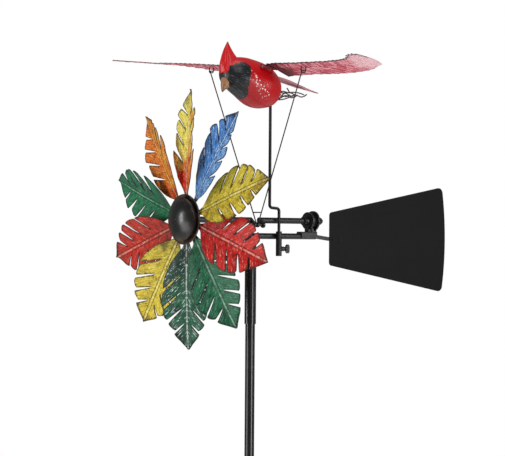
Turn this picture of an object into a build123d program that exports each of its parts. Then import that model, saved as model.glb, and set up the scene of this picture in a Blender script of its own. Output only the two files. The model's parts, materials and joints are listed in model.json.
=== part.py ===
from build123d import *
import math
import os

# Wind spinner: a cardinal with flapping wings over a ten-leaf propeller, on a garden stake.
# Millimetres, +Z up.  The origin is on the pole axis at ground level.  The propeller faces -Y,
# the tail vane trails towards +Y and the bird's wings spread along X.

# ---- driving dimensions ------------------------------------------------------------------
SHAFT_Z = 1080.0          # height of the propeller shaft above the ground
FRAME_Z = SHAFT_Z - 26    # height of the lower frame tube
POLE_R = 8.0              # 16 mm pole tube
POLE_WALL = 1.2
SLEEVE_R = 9.5            # 19 mm tube that turns on the pole
SLEEVE_BOTTOM = SHAFT_Z - 171
SLEEVE_TOP = FRAME_Z - 8
SLEEVE_PLAY = 0.08        # radial running clearance of the head on the pole
TUBE_R = 5.0              # 10 mm frame tubes
TUBE_BORE = 4.0
SHAFT_R = 3.0             # 6 mm propeller shaft
SHAFT_PLAY = 0.08
ROD_R = 2.5               # 5 mm bird support rod
WIRE_R = 1.0              # 2 mm push rod wire

POLE_JOINT_Z = 480.0      # where the two pole sections meet
SPIGOT_LENGTH = 60.0
SOCKET_TOP = 60.0         # ground fork socket
SOCKET_BOTTOM = -20.0
SOCKET_R = 10.0
PRONG_R = 4.0
PRONG_SPREAD = 65.0
PRONG_DEPTH = 210.0
STEP_Z = 14.0             # step bar above the ground

TUBE_GAP_FRONT = -4.0     # the shaft tube is open between these two, for the crank
TUBE_GAP_REAR = 21.0
FRONT_TUBE_START = -118.0
REAR_TUBE_END = 113.0
FRAME_START = -40.0
FRAME_END = 140.0
FRONT_POST_Y = -34.0
SUPPORT_Y = 52.0          # clamp tube beside the frame
SUPPORT_X = 10.0

HUB_Y = -134.0            # back face of the hub dish
DOME_Y = -143.0           # flange of the domed cover
DOME_R = 35.0
DOME_RISE = 13.0
DISH_R = 41.0
SHEET = 1.2               # leaf, wing and tail sheet

LEAF_COUNT = 10
LEAF_TIP = 210.0
LEAF_HALF_WIDTH = 45.5
LEAF_PITCH = 18.0         # degrees that each leaf is twisted about its own length
LEAF_ROOT = 31.0
RIVET_R = 2.0

CRANK_X = 9.4             # crank pin centre at rest, from the shaft axis
CRANK_Z = -7.5
WEB_R = 5.0
WEB_THICKNESS = 4.0
FRONT_WEB_Y = -3.2
REAR_WEB_Y = 16.2
PIN_R = 2.0
PIN_PLAY = 0.3            # gap between the crank pin's ends and the webs

SHOULDER_X = 33.0         # wing hinge axes
SHOULDER_Z = SHAFT_Z + 252
WING_RISE = {-1: 5.6, 1: -3.0}     # each wing's tilt at rest, in degrees
WING_PITCH = {-1: 5.7, 1: 12.4}    # leading edge up, in degrees
LOOP_X = 119.0            # where the push rods hook into the wings
LOOP_STANDOFF = 3.2       # loop behind its push rod
LOOP_DEPTH = 9.5
HOOK_DEPTH = 6.9          # hook below the middle of the wing sheet
HINGE_R = 3.5
HINGE_PIN_R = 1.5
HINGE_PLAY = 0.06

VANE_FRONT = 172.0
VANE_REAR = 446.0
VANE_CENTRE_Z = SHAFT_Z - 30
VANE_FRONT_HEIGHT = 89.5
VANE_REAR_HEIGHT = 187.0

os.makedirs("parts", exist_ok=True)


def save(piece, label):
    piece.part.label = label
    export_step(piece.part, f"parts/{label}.step")


def upright(x, y, z):
    return Plane(origin=(x, y, z))


def lengthwise(x, y, z):
    # local Z runs along +Y, local X along +X
    return Plane(origin=(x, y, z), x_dir=(1, 0, 0), z_dir=(0, 1, 0))


def upright_tube(label, x, y, bottom, top, outer, inner):
    with BuildPart() as tube:
        with BuildSketch(upright(x, y, bottom)):
            Circle(outer)
            if inner > 0:
                Circle(inner, mode=Mode.SUBTRACT)
        extrude(amount=top - bottom)
    save(tube, label)


def lengthwise_tube(label, z, start, end, outer, inner):
    with BuildPart() as tube:
        with BuildSketch(lengthwise(0, start, z)):
            Circle(outer)
            if inner > 0:
                Circle(inner, mode=Mode.SUBTRACT)
        extrude(amount=end - start)
    save(tube, label)


def dome_arc(base_y, base_r, apex_y):
    # arc in the YZ plane from a dome's rim to its apex on the shaft axis
    rise = abs(apex_y - base_y)
    sphere = (base_r**2 + rise**2) / (2 * rise)
    drop = sphere - math.sqrt(sphere**2 - (base_r / 2) ** 2)
    middle_y = apex_y + math.copysign(drop, base_y - apex_y)
    ThreePointArc((base_y, SHAFT_Z + base_r), (middle_y, SHAFT_Z + base_r / 2), (apex_y, SHAFT_Z))


# ---- pole and ground fork ----------------------------------------------------------------
SPIKE_TIP = 30.0
SEAT = 12.0               # thickness of the spike's collar in the socket
PIVOT_TOP = SLEEVE_TOP - 8


def ground_spike():
    with BuildPart() as spike:
        with BuildSketch(Plane.XZ):
            with BuildLine():
                Polyline(
                    (0, -PRONG_DEPTH - SPIKE_TIP),
                    (PRONG_R + 2, -PRONG_DEPTH),
                    (PRONG_R + 2, SOCKET_BOTTOM),
                    (POLE_R, SOCKET_BOTTOM),
                    (POLE_R, SOCKET_BOTTOM + SEAT),
                    (0, SOCKET_BOTTOM + SEAT),
                    close=True,
                )
            make_face()
        revolve(axis=Axis.Z)
    save(spike, "ground_spike")


def side_prongs():
    # two bent rods: each leaves the socket sideways as the step bar and turns down as a prong
    with BuildPart() as prongs:
        for side in (-1, 1):
            path_start = (side * (SOCKET_R - 2), 0, STEP_Z)
            corner = (side * PRONG_SPREAD, 0, STEP_Z)
            path_end = (side * PRONG_SPREAD, 0, -PRONG_DEPTH)
            with BuildLine():
                FilletPolyline(path_start, corner, path_end, radius=14)
            with BuildSketch(Plane(origin=path_start, z_dir=(side, 0, 0))):
                Circle(PRONG_R)
            sweep()
            with BuildSketch(Plane(origin=path_end, z_dir=(0, 0, -1))):
                Circle(PRONG_R)
            extrude(amount=SPIKE_TIP * 0.6, taper=12)
        with BuildSketch(Plane.XY.offset(SOCKET_BOTTOM)):
            Circle(SOCKET_R)
        extrude(amount=SOCKET_TOP - SOCKET_BOTTOM, mode=Mode.SUBTRACT)
    save(prongs, "side_prongs")


def pole_sections():
    inner = POLE_R - POLE_WALL
    spigot_r = inner - 0.1
    with BuildPart() as lower:
        with BuildSketch(Plane.XZ):
            with BuildLine():
                Polyline(
                    (inner, SOCKET_BOTTOM + SEAT),
                    (POLE_R, SOCKET_BOTTOM + SEAT),
                    (POLE_R, POLE_JOINT_Z),
                    (spigot_r, POLE_JOINT_Z),
                    (spigot_r, POLE_JOINT_Z + SPIGOT_LENGTH),
                    (spigot_r - POLE_WALL, POLE_JOINT_Z + SPIGOT_LENGTH),
                    (spigot_r - POLE_WALL, POLE_JOINT_Z - 8),
                    (inner, POLE_JOINT_Z - 12),
                    close=True,
                )
            make_face()
        revolve(axis=Axis.Z)
        with Locations(Plane(origin=(POLE_R, 0, POLE_JOINT_Z + 20), z_dir=(1, 0, 0))):
            Hole(1.5, depth=POLE_R)
    save(lower, "pole_lower")
    with BuildPart() as upper:
        with BuildSketch(Plane.XY.offset(POLE_JOINT_Z)):
            Circle(POLE_R)
            Circle(inner, mode=Mode.SUBTRACT)
        extrude(amount=PIVOT_TOP - 12 - POLE_JOINT_Z)
        with Locations(Plane(origin=(POLE_R, 0, POLE_JOINT_Z + 20), z_dir=(1, 0, 0))):
            Hole(1.5, depth=POLE_R)
    save(upper, "pole_upper")
    with BuildPart() as screw:
        with BuildSketch(Plane(origin=(POLE_R, 0, POLE_JOINT_Z + 20), z_dir=(1, 0, 0))):
            Circle(3.2)
        extrude(amount=2)
        fillet(screw.edges().group_by(Axis.X)[-1], radius=1.2)
        with BuildSketch(Plane(origin=(POLE_R, 0, POLE_JOINT_Z + 20), z_dir=(-1, 0, 0))):
            Circle(1.45)
        extrude(amount=4.5)
    save(screw, "pole_joint_screw")


def pivot_plug():
    # closes the top of the pole; the turning head sits on its rounded tip
    stem_bottom = PIVOT_TOP - 32
    with BuildPart() as plug:
        with BuildSketch(Plane.XZ):
            with BuildLine():
                Line((0, stem_bottom), (POLE_R - POLE_WALL, stem_bottom))
                Line((POLE_R - POLE_WALL, stem_bottom), (POLE_R - POLE_WALL, PIVOT_TOP - 12))
                Line((POLE_R - POLE_WALL, PIVOT_TOP - 12), (POLE_R, PIVOT_TOP - 12))
                Line((POLE_R, PIVOT_TOP - 12), (POLE_R, PIVOT_TOP - 8))
                Line((POLE_R, PIVOT_TOP - 8), (4, PIVOT_TOP - 4))
                CenterArc((0, PIVOT_TOP - 4), 4, 0, 90)
                Line((0, PIVOT_TOP), (0, stem_bottom))
            make_face()
        revolve(axis=Axis.Z)
    save(plug, "pivot_plug")


upright_tube("fork_socket", 0, 0, SOCKET_BOTTOM, SOCKET_TOP, SOCKET_R, POLE_R)
ground_spike()
side_prongs()
pole_sections()
pivot_plug()

# ---- turning head: sleeve, frame tubes and bearings --------------------------------------
upright_tube(
    "yaw_sleeve", 0, 0, SLEEVE_BOTTOM, SLEEVE_TOP, SLEEVE_R, POLE_R + SLEEVE_PLAY
)


def sleeve_cap():
    # plug in the sleeve's top whose upper side cradles the frame tube
    with BuildPart() as cap:
        with BuildSketch(Plane.XY.offset(PIVOT_TOP + 0.1)):
            Circle(POLE_R + SLEEVE_PLAY)
        extrude(amount=SLEEVE_TOP - PIVOT_TOP - 0.1)
        with BuildSketch(Plane.XY.offset(SLEEVE_TOP)):
            Circle(SLEEVE_R)
        extrude(amount=FRAME_Z - SLEEVE_TOP)
        with BuildSketch(lengthwise(0, -SLEEVE_R - 1, FRAME_Z)):
            Circle(TUBE_R)
        extrude(amount=2 * SLEEVE_R + 2, mode=Mode.SUBTRACT)
    save(cap, "sleeve_cap")


def front_post():
    with BuildPart() as post:
        with BuildSketch(upright(0, FRONT_POST_Y, FRAME_Z)):
            Circle(4)
        extrude(amount=SHAFT_Z - FRAME_Z)
        for z in (FRAME_Z, SHAFT_Z):
            with BuildSketch(lengthwise(0, FRONT_POST_Y - 6, z)):
                Circle(TUBE_R)
            extrude(amount=12, mode=Mode.SUBTRACT)
    save(post, "front_post")


HOUSING_FRONT = 105.0
NECK_FRONT = 121.0
HOUSING_REAR = 139.0
FLANGE_FRONT_Y = 122.5
FLANGE_REAR_Y = 133.5
FLANGE_WIDTH = 3.0
BARREL_R = 12.0
NECK_WIDTH = 10.0
SHAFT_HOLE = SHAFT_R + SHAFT_PLAY


def rear_housing():
    # cast block: a saddle over the frame tube, a neck and the barrel of the rear bearing
    with BuildPart() as housing:
        with BuildSketch(lengthwise(0, HOUSING_FRONT, FRAME_Z)):
            RectangleRounded(14, 16, radius=2)
        extrude(amount=HOUSING_REAR - HOUSING_FRONT)
        with BuildSketch(Plane(origin=(0, NECK_FRONT, FRAME_Z), z_dir=(0, 0, 1))):
            with Locations((0, (HOUSING_REAR - NECK_FRONT) / 2)):
                Rectangle(NECK_WIDTH, HOUSING_REAR - NECK_FRONT)
        extrude(amount=SHAFT_Z - FRAME_Z)
        with BuildSketch(lengthwise(0, NECK_FRONT, SHAFT_Z)):
            Circle(BARREL_R)
        extrude(amount=HOUSING_REAR - NECK_FRONT)
        with BuildSketch(lengthwise(0, HOUSING_FRONT, FRAME_Z)):
            Circle(TUBE_R)
        extrude(amount=HOUSING_REAR - HOUSING_FRONT, mode=Mode.SUBTRACT)
        with BuildSketch(Plane.XY.offset(FRAME_Z - 30)):
            with Locations((0, (HOUSING_FRONT + HOUSING_REAR) / 2)):
                Rectangle(20, HOUSING_REAR - HOUSING_FRONT + 2)
        extrude(amount=27, mode=Mode.SUBTRACT)
        with BuildSketch(lengthwise(0, NECK_FRONT, SHAFT_Z)):
            Circle(SHAFT_HOLE)
        extrude(amount=HOUSING_REAR - NECK_FRONT, mode=Mode.SUBTRACT)
    save(housing, "rear_housing")


def bearing_flanges():
    # two round flanges on the barrel of the housing, notched over its neck
    with BuildPart() as discs:
        for y, radius in ((FLANGE_FRONT_Y, 15), (FLANGE_REAR_Y, 17)):
            with BuildSketch(lengthwise(0, y, SHAFT_Z)):
                Circle(radius)
                Circle(BARREL_R, mode=Mode.SUBTRACT)
                with Locations((0, 15)):
                    Rectangle(NECK_WIDTH, 20, mode=Mode.SUBTRACT)
            extrude(amount=FLANGE_WIDTH)
    save(discs, "bearing_flanges")


def tube_collar():
    with BuildPart() as collar:
        with BuildSketch(lengthwise(0, REAR_TUBE_END, SHAFT_Z)):
            Circle(7.5)
            Circle(SHAFT_HOLE, mode=Mode.SUBTRACT)
        extrude(amount=NECK_FRONT - REAR_TUBE_END)
        with Locations(Plane(origin=(7.5, 117, SHAFT_Z), z_dir=(1, 0, 0))):
            Hole(1.5, depth=3)
    save(collar, "tube_collar")


def head_screws():
    # set screw of the tube collar and clamping screw of the housing's neck
    with BuildPart() as screws:
        for x, y, z, head_r in ((7.5, 117, SHAFT_Z, 2.6), (5, 129, FRAME_Z + 11, 3.0)):
            with BuildSketch(Plane(origin=(x, y, z), z_dir=(1, 0, 0))):
                Circle(head_r)
            extrude(amount=1.8, taper=12)
        with BuildSketch(Plane(origin=(7.5, 117, SHAFT_Z), z_dir=(-1, 0, 0))):
            Circle(1.5)
        extrude(amount=3)
    save(screws, "head_screws")


lengthwise_tube("frame_tube", FRAME_Z, FRAME_START, FRAME_END, TUBE_R, TUBE_BORE)
lengthwise_tube(
    "front_bearing_tube", SHAFT_Z, FRONT_TUBE_START, TUBE_GAP_FRONT, TUBE_R, SHAFT_HOLE
)
lengthwise_tube("rear_bearing_tube", SHAFT_Z, TUBE_GAP_REAR, REAR_TUBE_END, TUBE_R, SHAFT_HOLE)
sleeve_cap()
front_post()
rear_housing()
bearing_flanges()
tube_collar()
head_screws()

# ---- tail vane ---------------------------------------------------------------------------
VANE_LAP = 30.0
BAR_THICK = 3.0
BAR_HEIGHT = 6.5
VANE_SCREW_YS = (VANE_FRONT + 9, VANE_FRONT + 23)
BAR_END_Z = FRAME_Z - 4


def vane_bar():
    # round shank pressed into the frame tube, then a flat bar lapped behind the vane
    with BuildPart() as bar:
        with BuildSketch(lengthwise(0, FRAME_END - 18, FRAME_Z)):
            Circle(TUBE_BORE)
        extrude(amount=18)
        with BuildSketch(Plane.YZ.offset(-SHEET / 2)):
            with BuildLine():
                Polyline(
                    (FRAME_END, FRAME_Z - BAR_HEIGHT / 2),
                    (FRAME_END, FRAME_Z + BAR_HEIGHT / 2),
                    (VANE_FRONT, BAR_END_Z + BAR_HEIGHT / 2),
                    (VANE_FRONT + VANE_LAP, BAR_END_Z + BAR_HEIGHT / 2),
                    (VANE_FRONT + VANE_LAP, BAR_END_Z - BAR_HEIGHT / 2),
                    (VANE_FRONT, BAR_END_Z - BAR_HEIGHT / 2),
                    close=True,
                )
            make_face()
        extrude(amount=-BAR_THICK)
        for y in VANE_SCREW_YS:
            with Locations(Plane(origin=(-SHEET / 2, y, BAR_END_Z), z_dir=(1, 0, 0))):
                Hole(1.6, depth=BAR_THICK + 1)
    save(bar, "vane_bar")


def vane_plate():
    with BuildPart() as vane:
        with BuildSketch(Plane.YZ.offset(-SHEET / 2)):
            with BuildLine():
                Line(
                    (VANE_FRONT, VANE_CENTRE_Z - VANE_FRONT_HEIGHT / 2),
                    (VANE_FRONT, VANE_CENTRE_Z + VANE_FRONT_HEIGHT / 2),
                )
                Line(
                    (VANE_FRONT, VANE_CENTRE_Z + VANE_FRONT_HEIGHT / 2),
                    (VANE_REAR - 8, VANE_CENTRE_Z + VANE_REAR_HEIGHT / 2),
                )
                ThreePointArc(
                    (VANE_REAR - 8, VANE_CENTRE_Z + VANE_REAR_HEIGHT / 2),
                    (VANE_REAR, VANE_CENTRE_Z),
                    (VANE_REAR - 8, VANE_CENTRE_Z - VANE_REAR_HEIGHT / 2),
                )
                Line(
                    (VANE_REAR - 8, VANE_CENTRE_Z - VANE_REAR_HEIGHT / 2),
                    (VANE_FRONT, VANE_CENTRE_Z - VANE_FRONT_HEIGHT / 2),
                )
            make_face()
        extrude(amount=SHEET)
        edges = vane.edges().filter_by(Axis.X).sort_by(Axis.Y)
        fillet(edges[-2:], radius=10)
        fillet(vane.edges().filter_by(Axis.X).sort_by(Axis.Y)[:2], radius=6)
        for y in VANE_SCREW_YS:
            with Locations(Plane(origin=(SHEET / 2, y, BAR_END_Z), z_dir=(1, 0, 0))):
                Hole(1.6, depth=SHEET + 1)
    save(vane, "tail_vane")


def vane_fasteners():
    # two round-head screws through vane and bar, each with a hexagon nut behind
    with BuildPart() as fasteners:
        for y in VANE_SCREW_YS:
            with BuildSketch(Plane(origin=(SHEET / 2, y, BAR_END_Z), z_dir=(1, 0, 0))):
                Circle(3)
            extrude(amount=1.8, taper=15)
            with BuildSketch(Plane(origin=(SHEET / 2, y, BAR_END_Z), z_dir=(-1, 0, 0))):
                Circle(1.6)
            extrude(amount=SHEET + BAR_THICK + 4)
            nut_plane = Plane(origin=(-SHEET / 2 - BAR_THICK, y, BAR_END_Z), z_dir=(-1, 0, 0))
            with BuildSketch(nut_plane):
                RegularPolygon(3.1, 6)
            extrude(amount=2.4)
    save(fasteners, "vane_fasteners")


vane_bar()
vane_plate()
vane_fasteners()

# ---- bird support ------------------------------------------------------------------------
CLAMP_TOP = SHAFT_Z - 18
CLAMP_BOTTOM = SHAFT_Z - 59
THUMB_Z = SHAFT_Z - 47
BEND_Z = SHAFT_Z + 20
ROD_TOP_Y = 40.0
ROD_TOP = SHAFT_Z + 205
BELLY_HOLE_R = 3.0
THUMB_BOSS = 5.0
THUMB_PLAY = 0.05


def clamp_tube():
    with BuildPart() as clamp:
        with BuildSketch(upright(SUPPORT_X, SUPPORT_Y, CLAMP_BOTTOM)):
            Circle(TUBE_R)
        extrude(amount=CLAMP_TOP - CLAMP_BOTTOM)
        with BuildSketch(Plane(origin=(SUPPORT_X, SUPPORT_Y, THUMB_Z), z_dir=(0, 1, 0))):
            Circle(4)
        extrude(amount=TUBE_R + THUMB_BOSS)
        with BuildSketch(upright(SUPPORT_X, SUPPORT_Y, CLAMP_BOTTOM)):
            Circle(ROD_R)
        extrude(amount=CLAMP_TOP - CLAMP_BOTTOM, mode=Mode.SUBTRACT)
        with BuildSketch(Plane(origin=(SUPPORT_X, SUPPORT_Y, THUMB_Z), z_dir=(0, 1, 0))):
            Circle(2 + THUMB_PLAY)
        extrude(amount=TUBE_R + THUMB_BOSS, mode=Mode.SUBTRACT)
    save(clamp, "clamp_tube")


def thumb_screw():
    with BuildPart() as thumb:
        start = SUPPORT_Y + ROD_R + 0.3
        with BuildSketch(Plane(origin=(SUPPORT_X, start, THUMB_Z), z_dir=(0, 1, 0))):
            Circle(2)
        extrude(amount=14)
        with BuildSketch(Plane(origin=(SUPPORT_X, start + 10, THUMB_Z), z_dir=(0, 1, 0))):
            Circle(3.4)
        extrude(amount=3)
        wing_origin = (SUPPORT_X - 1.5, start + 16, THUMB_Z)
        with BuildSketch(Plane(origin=wing_origin, x_dir=(0, 1, 0), z_dir=(1, 0, 0))):
            SlotOverall(15, 7.5, rotation=90)
        extrude(amount=3)
    save(thumb, "thumb_screw")


def support_rod():
    bottom = (SUPPORT_X, SUPPORT_Y, CLAMP_BOTTOM + 4)
    path = (
        bottom,
        (SUPPORT_X, SUPPORT_Y, BEND_Z),
        (0, ROD_TOP_Y, BEND_Z + 1.5),
        (0, ROD_TOP_Y, ROD_TOP),
    )
    with BuildPart() as rod:
        with BuildLine():
            FilletPolyline(*path, radius=5)
        with BuildSketch(Plane(origin=bottom, z_dir=(0, 0, 1))):
            Circle(ROD_R)
        sweep()
    save(rod, "bird_support_rod")


clamp_tube()
thumb_screw()
support_rod()

# ---- bird --------------------------------------------------------------------------------
# each station along the bird: y, centre height above the shaft, half width, half height
BODY_STATIONS = (
    (-60, 240, 7, 8),
    (-55, 240, 16, 16),
    (-45, 239, 24, 24),
    (-25, 234.5, 32, 32),
    (-1, 226, 36, 37.5),
    (22, 222, 33.5, 35),
    (41, 219, 24.5, 25.5),
    (54.5, 218, 9, 10),
)
SHELL_WALL = 1.5


def body_loft(shrink):
    with BuildPart(mode=Mode.PRIVATE) as form:
        last = len(BODY_STATIONS) - 1
        for i, (y, z, half_x, half_z) in enumerate(BODY_STATIONS):
            inset = shrink if 0 < i < last else 0
            step = shrink if i == 0 else -shrink if i == last else 0
            with BuildSketch(lengthwise(0, y + step, SHAFT_Z + z)):
                Ellipse(half_x - inset, half_z - inset)
        loft()
    return form.part


BODY_OUTSIDE = body_loft(0)
BODY_INSIDE = body_loft(SHELL_WALL)


def body_halves():
    for label, keep in (("body_shell_left", Keep.BOTTOM), ("body_shell_right", Keep.TOP)):
        with BuildPart() as shell:
            add(BODY_OUTSIDE)
            add(BODY_INSIDE, mode=Mode.SUBTRACT)
            with BuildSketch(upright(0, ROD_TOP_Y, SHAFT_Z + 150)):
                Circle(BELLY_HOLE_R)
            extrude(amount=55, mode=Mode.SUBTRACT)
            split(bisect_by=Plane.YZ, keep=keep)
        save(shell, label)


def crest():
    with BuildPart() as fin:
        with BuildSketch(upright(0, -42.5, SHAFT_Z + 250)):
            Ellipse(14.5, 20)
        with BuildSketch(upright(0, -48, SHAFT_Z + 272)):
            Ellipse(8, 11)
        with BuildSketch(upright(0, -51.5, SHAFT_Z + 292)):
            Ellipse(1, 1.5)
        loft(ruled=True)
        add(BODY_OUTSIDE, mode=Mode.SUBTRACT)
    save(fin, "crest")


def beak():
    with BuildPart() as bill:
        with BuildSketch(Plane(origin=(0, -49, SHAFT_Z + 237), z_dir=(0, -0.4, -1))):
            Ellipse(11, 11)
        with BuildSketch(Plane(origin=(0, -61.5, SHAFT_Z + 210), z_dir=(0, -0.4, -1))):
            Ellipse(1, 1)
        loft(ruled=True)
        add(BODY_OUTSIDE, mode=Mode.SUBTRACT)
    save(bill, "beak")


TAIL_ROOT = (0, 50, SHAFT_Z + 238)
TAIL_DROP = 14.0


def tail_feathers():
    drop = math.radians(TAIL_DROP)
    plane = Plane(
        origin=TAIL_ROOT, x_dir=(1, 0, 0), z_dir=(0, math.sin(drop), math.cos(drop))
    )
    with BuildPart() as tail:
        with BuildSketch(plane):
            with BuildLine():
                half = ((6, -13), (15, 10), (13, 55), (4, 97))
                Polyline(*half, *[(-x, y) for x, y in reversed(half)], close=True)
            make_face()
        extrude(amount=SHEET)
        add(BODY_OUTSIDE, mode=Mode.SUBTRACT)
    save(tail, "tail_feathers")


def feet():
    # two bent wires: each leaves the belly and trails under the tail, with one toe raised
    with BuildPart() as wires:
        for side in (-1, 1):
            leg = (
                Vector(side * 9, 36, SHAFT_Z + 201),
                Vector(side * 11, 56, SHAFT_Z + 201.5),
                Vector(side * 12, 83, SHAFT_Z + 210.5),
                Vector(side * 12, 97, SHAFT_Z + 207.5),
                Vector(side * 12, 110, SHAFT_Z + 213.5),
            )
            toe_end = Vector(side * 6, 84, SHAFT_Z + 214.5)
            with BuildLine():
                FilletPolyline(*leg, radius=8)
            with BuildSketch(Plane(origin=leg[0], z_dir=leg[1] - leg[0])):
                Circle(1.1)
            sweep()
            with BuildSketch(Plane(origin=leg[1], z_dir=toe_end - leg[1])):
                Circle(1)
            extrude(amount=(toe_end - leg[1]).length)
        add(BODY_OUTSIDE, mode=Mode.SUBTRACT)
    save(wires, "feet")


def rod_socket():
    # cup inside the belly that the support rod is pinned into
    with BuildPart() as cup:
        with BuildSketch(upright(0, ROD_TOP_Y, SHAFT_Z + 197)):
            Circle(6)
            Circle(ROD_R, mode=Mode.SUBTRACT)
        extrude(amount=8)
        with BuildSketch(upright(0, ROD_TOP_Y, SHAFT_Z + 205)):
            Circle(6)
        extrude(amount=3)
    save(cup, "rod_socket")


body_halves()
crest()
beak()
tail_feathers()
feet()
rod_socket()

# ---- wing hinges -------------------------------------------------------------------------
KNUCKLE_START = -2.0
KNUCKLE_END = 28.0
LUG_THICKNESS = 4.0
HINGE_GAP = 0.3


def wing_lugs():
    # four lugs welded to the bird's back, two at each hinge
    with BuildPart() as lugs:
        for y in (KNUCKLE_START - HINGE_GAP - LUG_THICKNESS, KNUCKLE_END + HINGE_GAP):
            for side in (-1, 1):
                with BuildSketch(lengthwise(side * SHOULDER_X, y, SHOULDER_Z)):
                    Circle(HINGE_R)
                    with Locations((-side * 10, 1.5)):
                        Rectangle(20, 2 * HINGE_R - 3)
                extrude(amount=LUG_THICKNESS)
        with BuildSketch(upright(0, 0, SHOULDER_Z - 20)):
            Rectangle(26, 80)
        extrude(amount=40, mode=Mode.SUBTRACT)
        add(BODY_OUTSIDE, mode=Mode.SUBTRACT)
        for side in (-1, 1):
            with BuildSketch(lengthwise(side * SHOULDER_X, KNUCKLE_START - 20, SHOULDER_Z)):
                Circle(HINGE_PIN_R)
            extrude(amount=80, mode=Mode.SUBTRACT)
    save(lugs, "wing_lugs")


def hinge_pins():
    start = KNUCKLE_START - HINGE_GAP - LUG_THICKNESS
    end = KNUCKLE_END + HINGE_GAP + LUG_THICKNESS
    with BuildPart() as pins:
        for side in (-1, 1):
            x = side * SHOULDER_X
            with BuildSketch(lengthwise(x, start - 1.5, SHOULDER_Z)):
                Circle(2.6)
            extrude(amount=1.5)
            with BuildSketch(lengthwise(x, start, SHOULDER_Z)):
                Circle(HINGE_PIN_R)
            extrude(amount=end - start)
            with BuildSketch(lengthwise(x, end, SHOULDER_Z)):
                Circle(2.2)
            extrude(amount=1.2)
    save(pins, "hinge_pins")


wing_lugs()
hinge_pins()

# ---- wings -------------------------------------------------------------------------------
# outline of one wing: distance from the hinge, y
LEADING_EDGE = ((0, 2), (40, -2), (110, -7), (180, -14), (230, -28), (262, -50), (283, -60))
WING_TIP = (292, -38)
TRAILING_EDGE = ((288, -6), (270, 14), (240, 32), (180, 46), (100, 52), (0, 46))
ROOT_CUT = 6.0            # the sheet starts this far out, beside the bird's body
PITCH_Y = 12.0            # the sheet crosses the height of the hinge axis at this y
TAB_HALF = 11.0


def wing_plane(side):
    rise = math.tan(math.radians(WING_RISE[side]))
    fall = math.tan(math.radians(WING_PITCH[side]))
    return Plane(
        origin=(side * SHOULDER_X, PITCH_Y, SHOULDER_Z),
        x_dir=(side, 0, rise),
        z_dir=(-side * rise, fall, 1),
    )


def wing(label, side):
    # local Y of the plane runs backward on the right wing and forward on the left one
    leading = [(x, side * (y - PITCH_Y)) for x, y in LEADING_EDGE]
    trailing = [(x, side * (y - PITCH_Y)) for x, y in TRAILING_EDGE]
    tip = (WING_TIP[0], side * (WING_TIP[1] - PITCH_Y))
    with BuildPart() as plate:
        with BuildSketch(wing_plane(side).offset(-SHEET / 2)):
            with BuildLine():
                Spline(*leading, tip, *trailing)
                Line(trailing[-1], leading[0])
            make_face()
            Rectangle(2 * ROOT_CUT, 200, mode=Mode.SUBTRACT)
            with Locations(((ROOT_CUT + 2) / 2, 0)):
                Rectangle(ROOT_CUT + 2, 2 * TAB_HALF)
        extrude(amount=SHEET)
        with BuildSketch(lengthwise(side * SHOULDER_X, KNUCKLE_START, SHOULDER_Z)):
            Circle(HINGE_R)
        extrude(amount=KNUCKLE_END - KNUCKLE_START)
        with BuildSketch(lengthwise(side * SHOULDER_X, KNUCKLE_START, SHOULDER_Z)):
            Circle(HINGE_PIN_R + HINGE_PLAY)
        extrude(amount=KNUCKLE_END - KNUCKLE_START, mode=Mode.SUBTRACT)
    save(plate, label)


LOOP_HALF = 5.6
LOOP_WIRE_R = 0.9
ROD_Y = {-1: 5.0, 1: 7.3}  # the two push rods sit side by side on the crank pin


def rod_loop(label, side):
    # staple under the wing that the push rod hooks into
    rise = math.radians(WING_RISE[side])
    out = (LOOP_X - SHOULDER_X) / math.cos(rise)
    y = ROD_Y[side] + LOOP_STANDOFF
    slope = math.tan(math.radians(WING_PITCH[side]))
    top = SHEET / 2 + slope * (y - PITCH_Y) + slope * LOOP_WIRE_R + 0.05

    def place(along, depth):
        x = side * (SHOULDER_X + along * math.cos(rise) + depth * math.sin(rise))
        return (x, y, SHOULDER_Z + along * math.sin(rise) - depth * math.cos(rise))

    path = (
        place(out - LOOP_HALF, top),
        place(out - LOOP_HALF, LOOP_DEPTH),
        place(out + LOOP_HALF, LOOP_DEPTH),
        place(out + LOOP_HALF, top),
    )
    with BuildPart() as loop:
        with BuildLine():
            FilletPolyline(*path, radius=2.5)
        with BuildSketch(Plane(origin=path[0], z_dir=Vector(path[1]) - Vector(path[0]))):
            Circle(LOOP_WIRE_R)
        sweep()
    save(loop, label)


wing("wing_left", -1)
wing("wing_right", 1)
rod_loop("rod_loop_left", -1)
rod_loop("rod_loop_right", 1)

# ---- push rods ---------------------------------------------------------------------------
PIN_POINT_Z = SHAFT_Z + CRANK_Z
HOOK_Z = {
    side: SHOULDER_Z + (LOOP_X - SHOULDER_X) * math.tan(math.radians(rise)) - HOOK_DEPTH
    for side, rise in WING_RISE.items()
}
EYE_R = 4.2
CROSSBAR_Z = SHAFT_Z + 13


def push_rod(label, side):
    # straight wire with an eye round the crank pin and a hook through the wing's loop
    y = ROD_Y[side]
    eye = Vector(CRANK_X, y, PIN_POINT_Z)
    hook = Vector(side * LOOP_X, y, HOOK_Z[side])
    with BuildPart() as rod:
        with BuildSketch(Plane(origin=eye, z_dir=hook - eye)):
            Circle(WIRE_R)
        extrude(amount=(hook - eye).length)
        with BuildSketch(lengthwise(side * LOOP_X, y - WIRE_R, HOOK_Z[side])):
            Circle(WIRE_R)
        extrude(amount=2 * WIRE_R + LOOP_STANDOFF + 3)
        with BuildSketch(lengthwise(CRANK_X, y - WIRE_R, PIN_POINT_Z)):
            Circle(EYE_R)
        extrude(amount=2 * WIRE_R)
        with BuildSketch(lengthwise(CRANK_X, y - WIRE_R, PIN_POINT_Z)):
            Circle(PIN_R + 0.02)
        extrude(amount=2 * WIRE_R, mode=Mode.SUBTRACT)
    save(rod, label)


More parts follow.
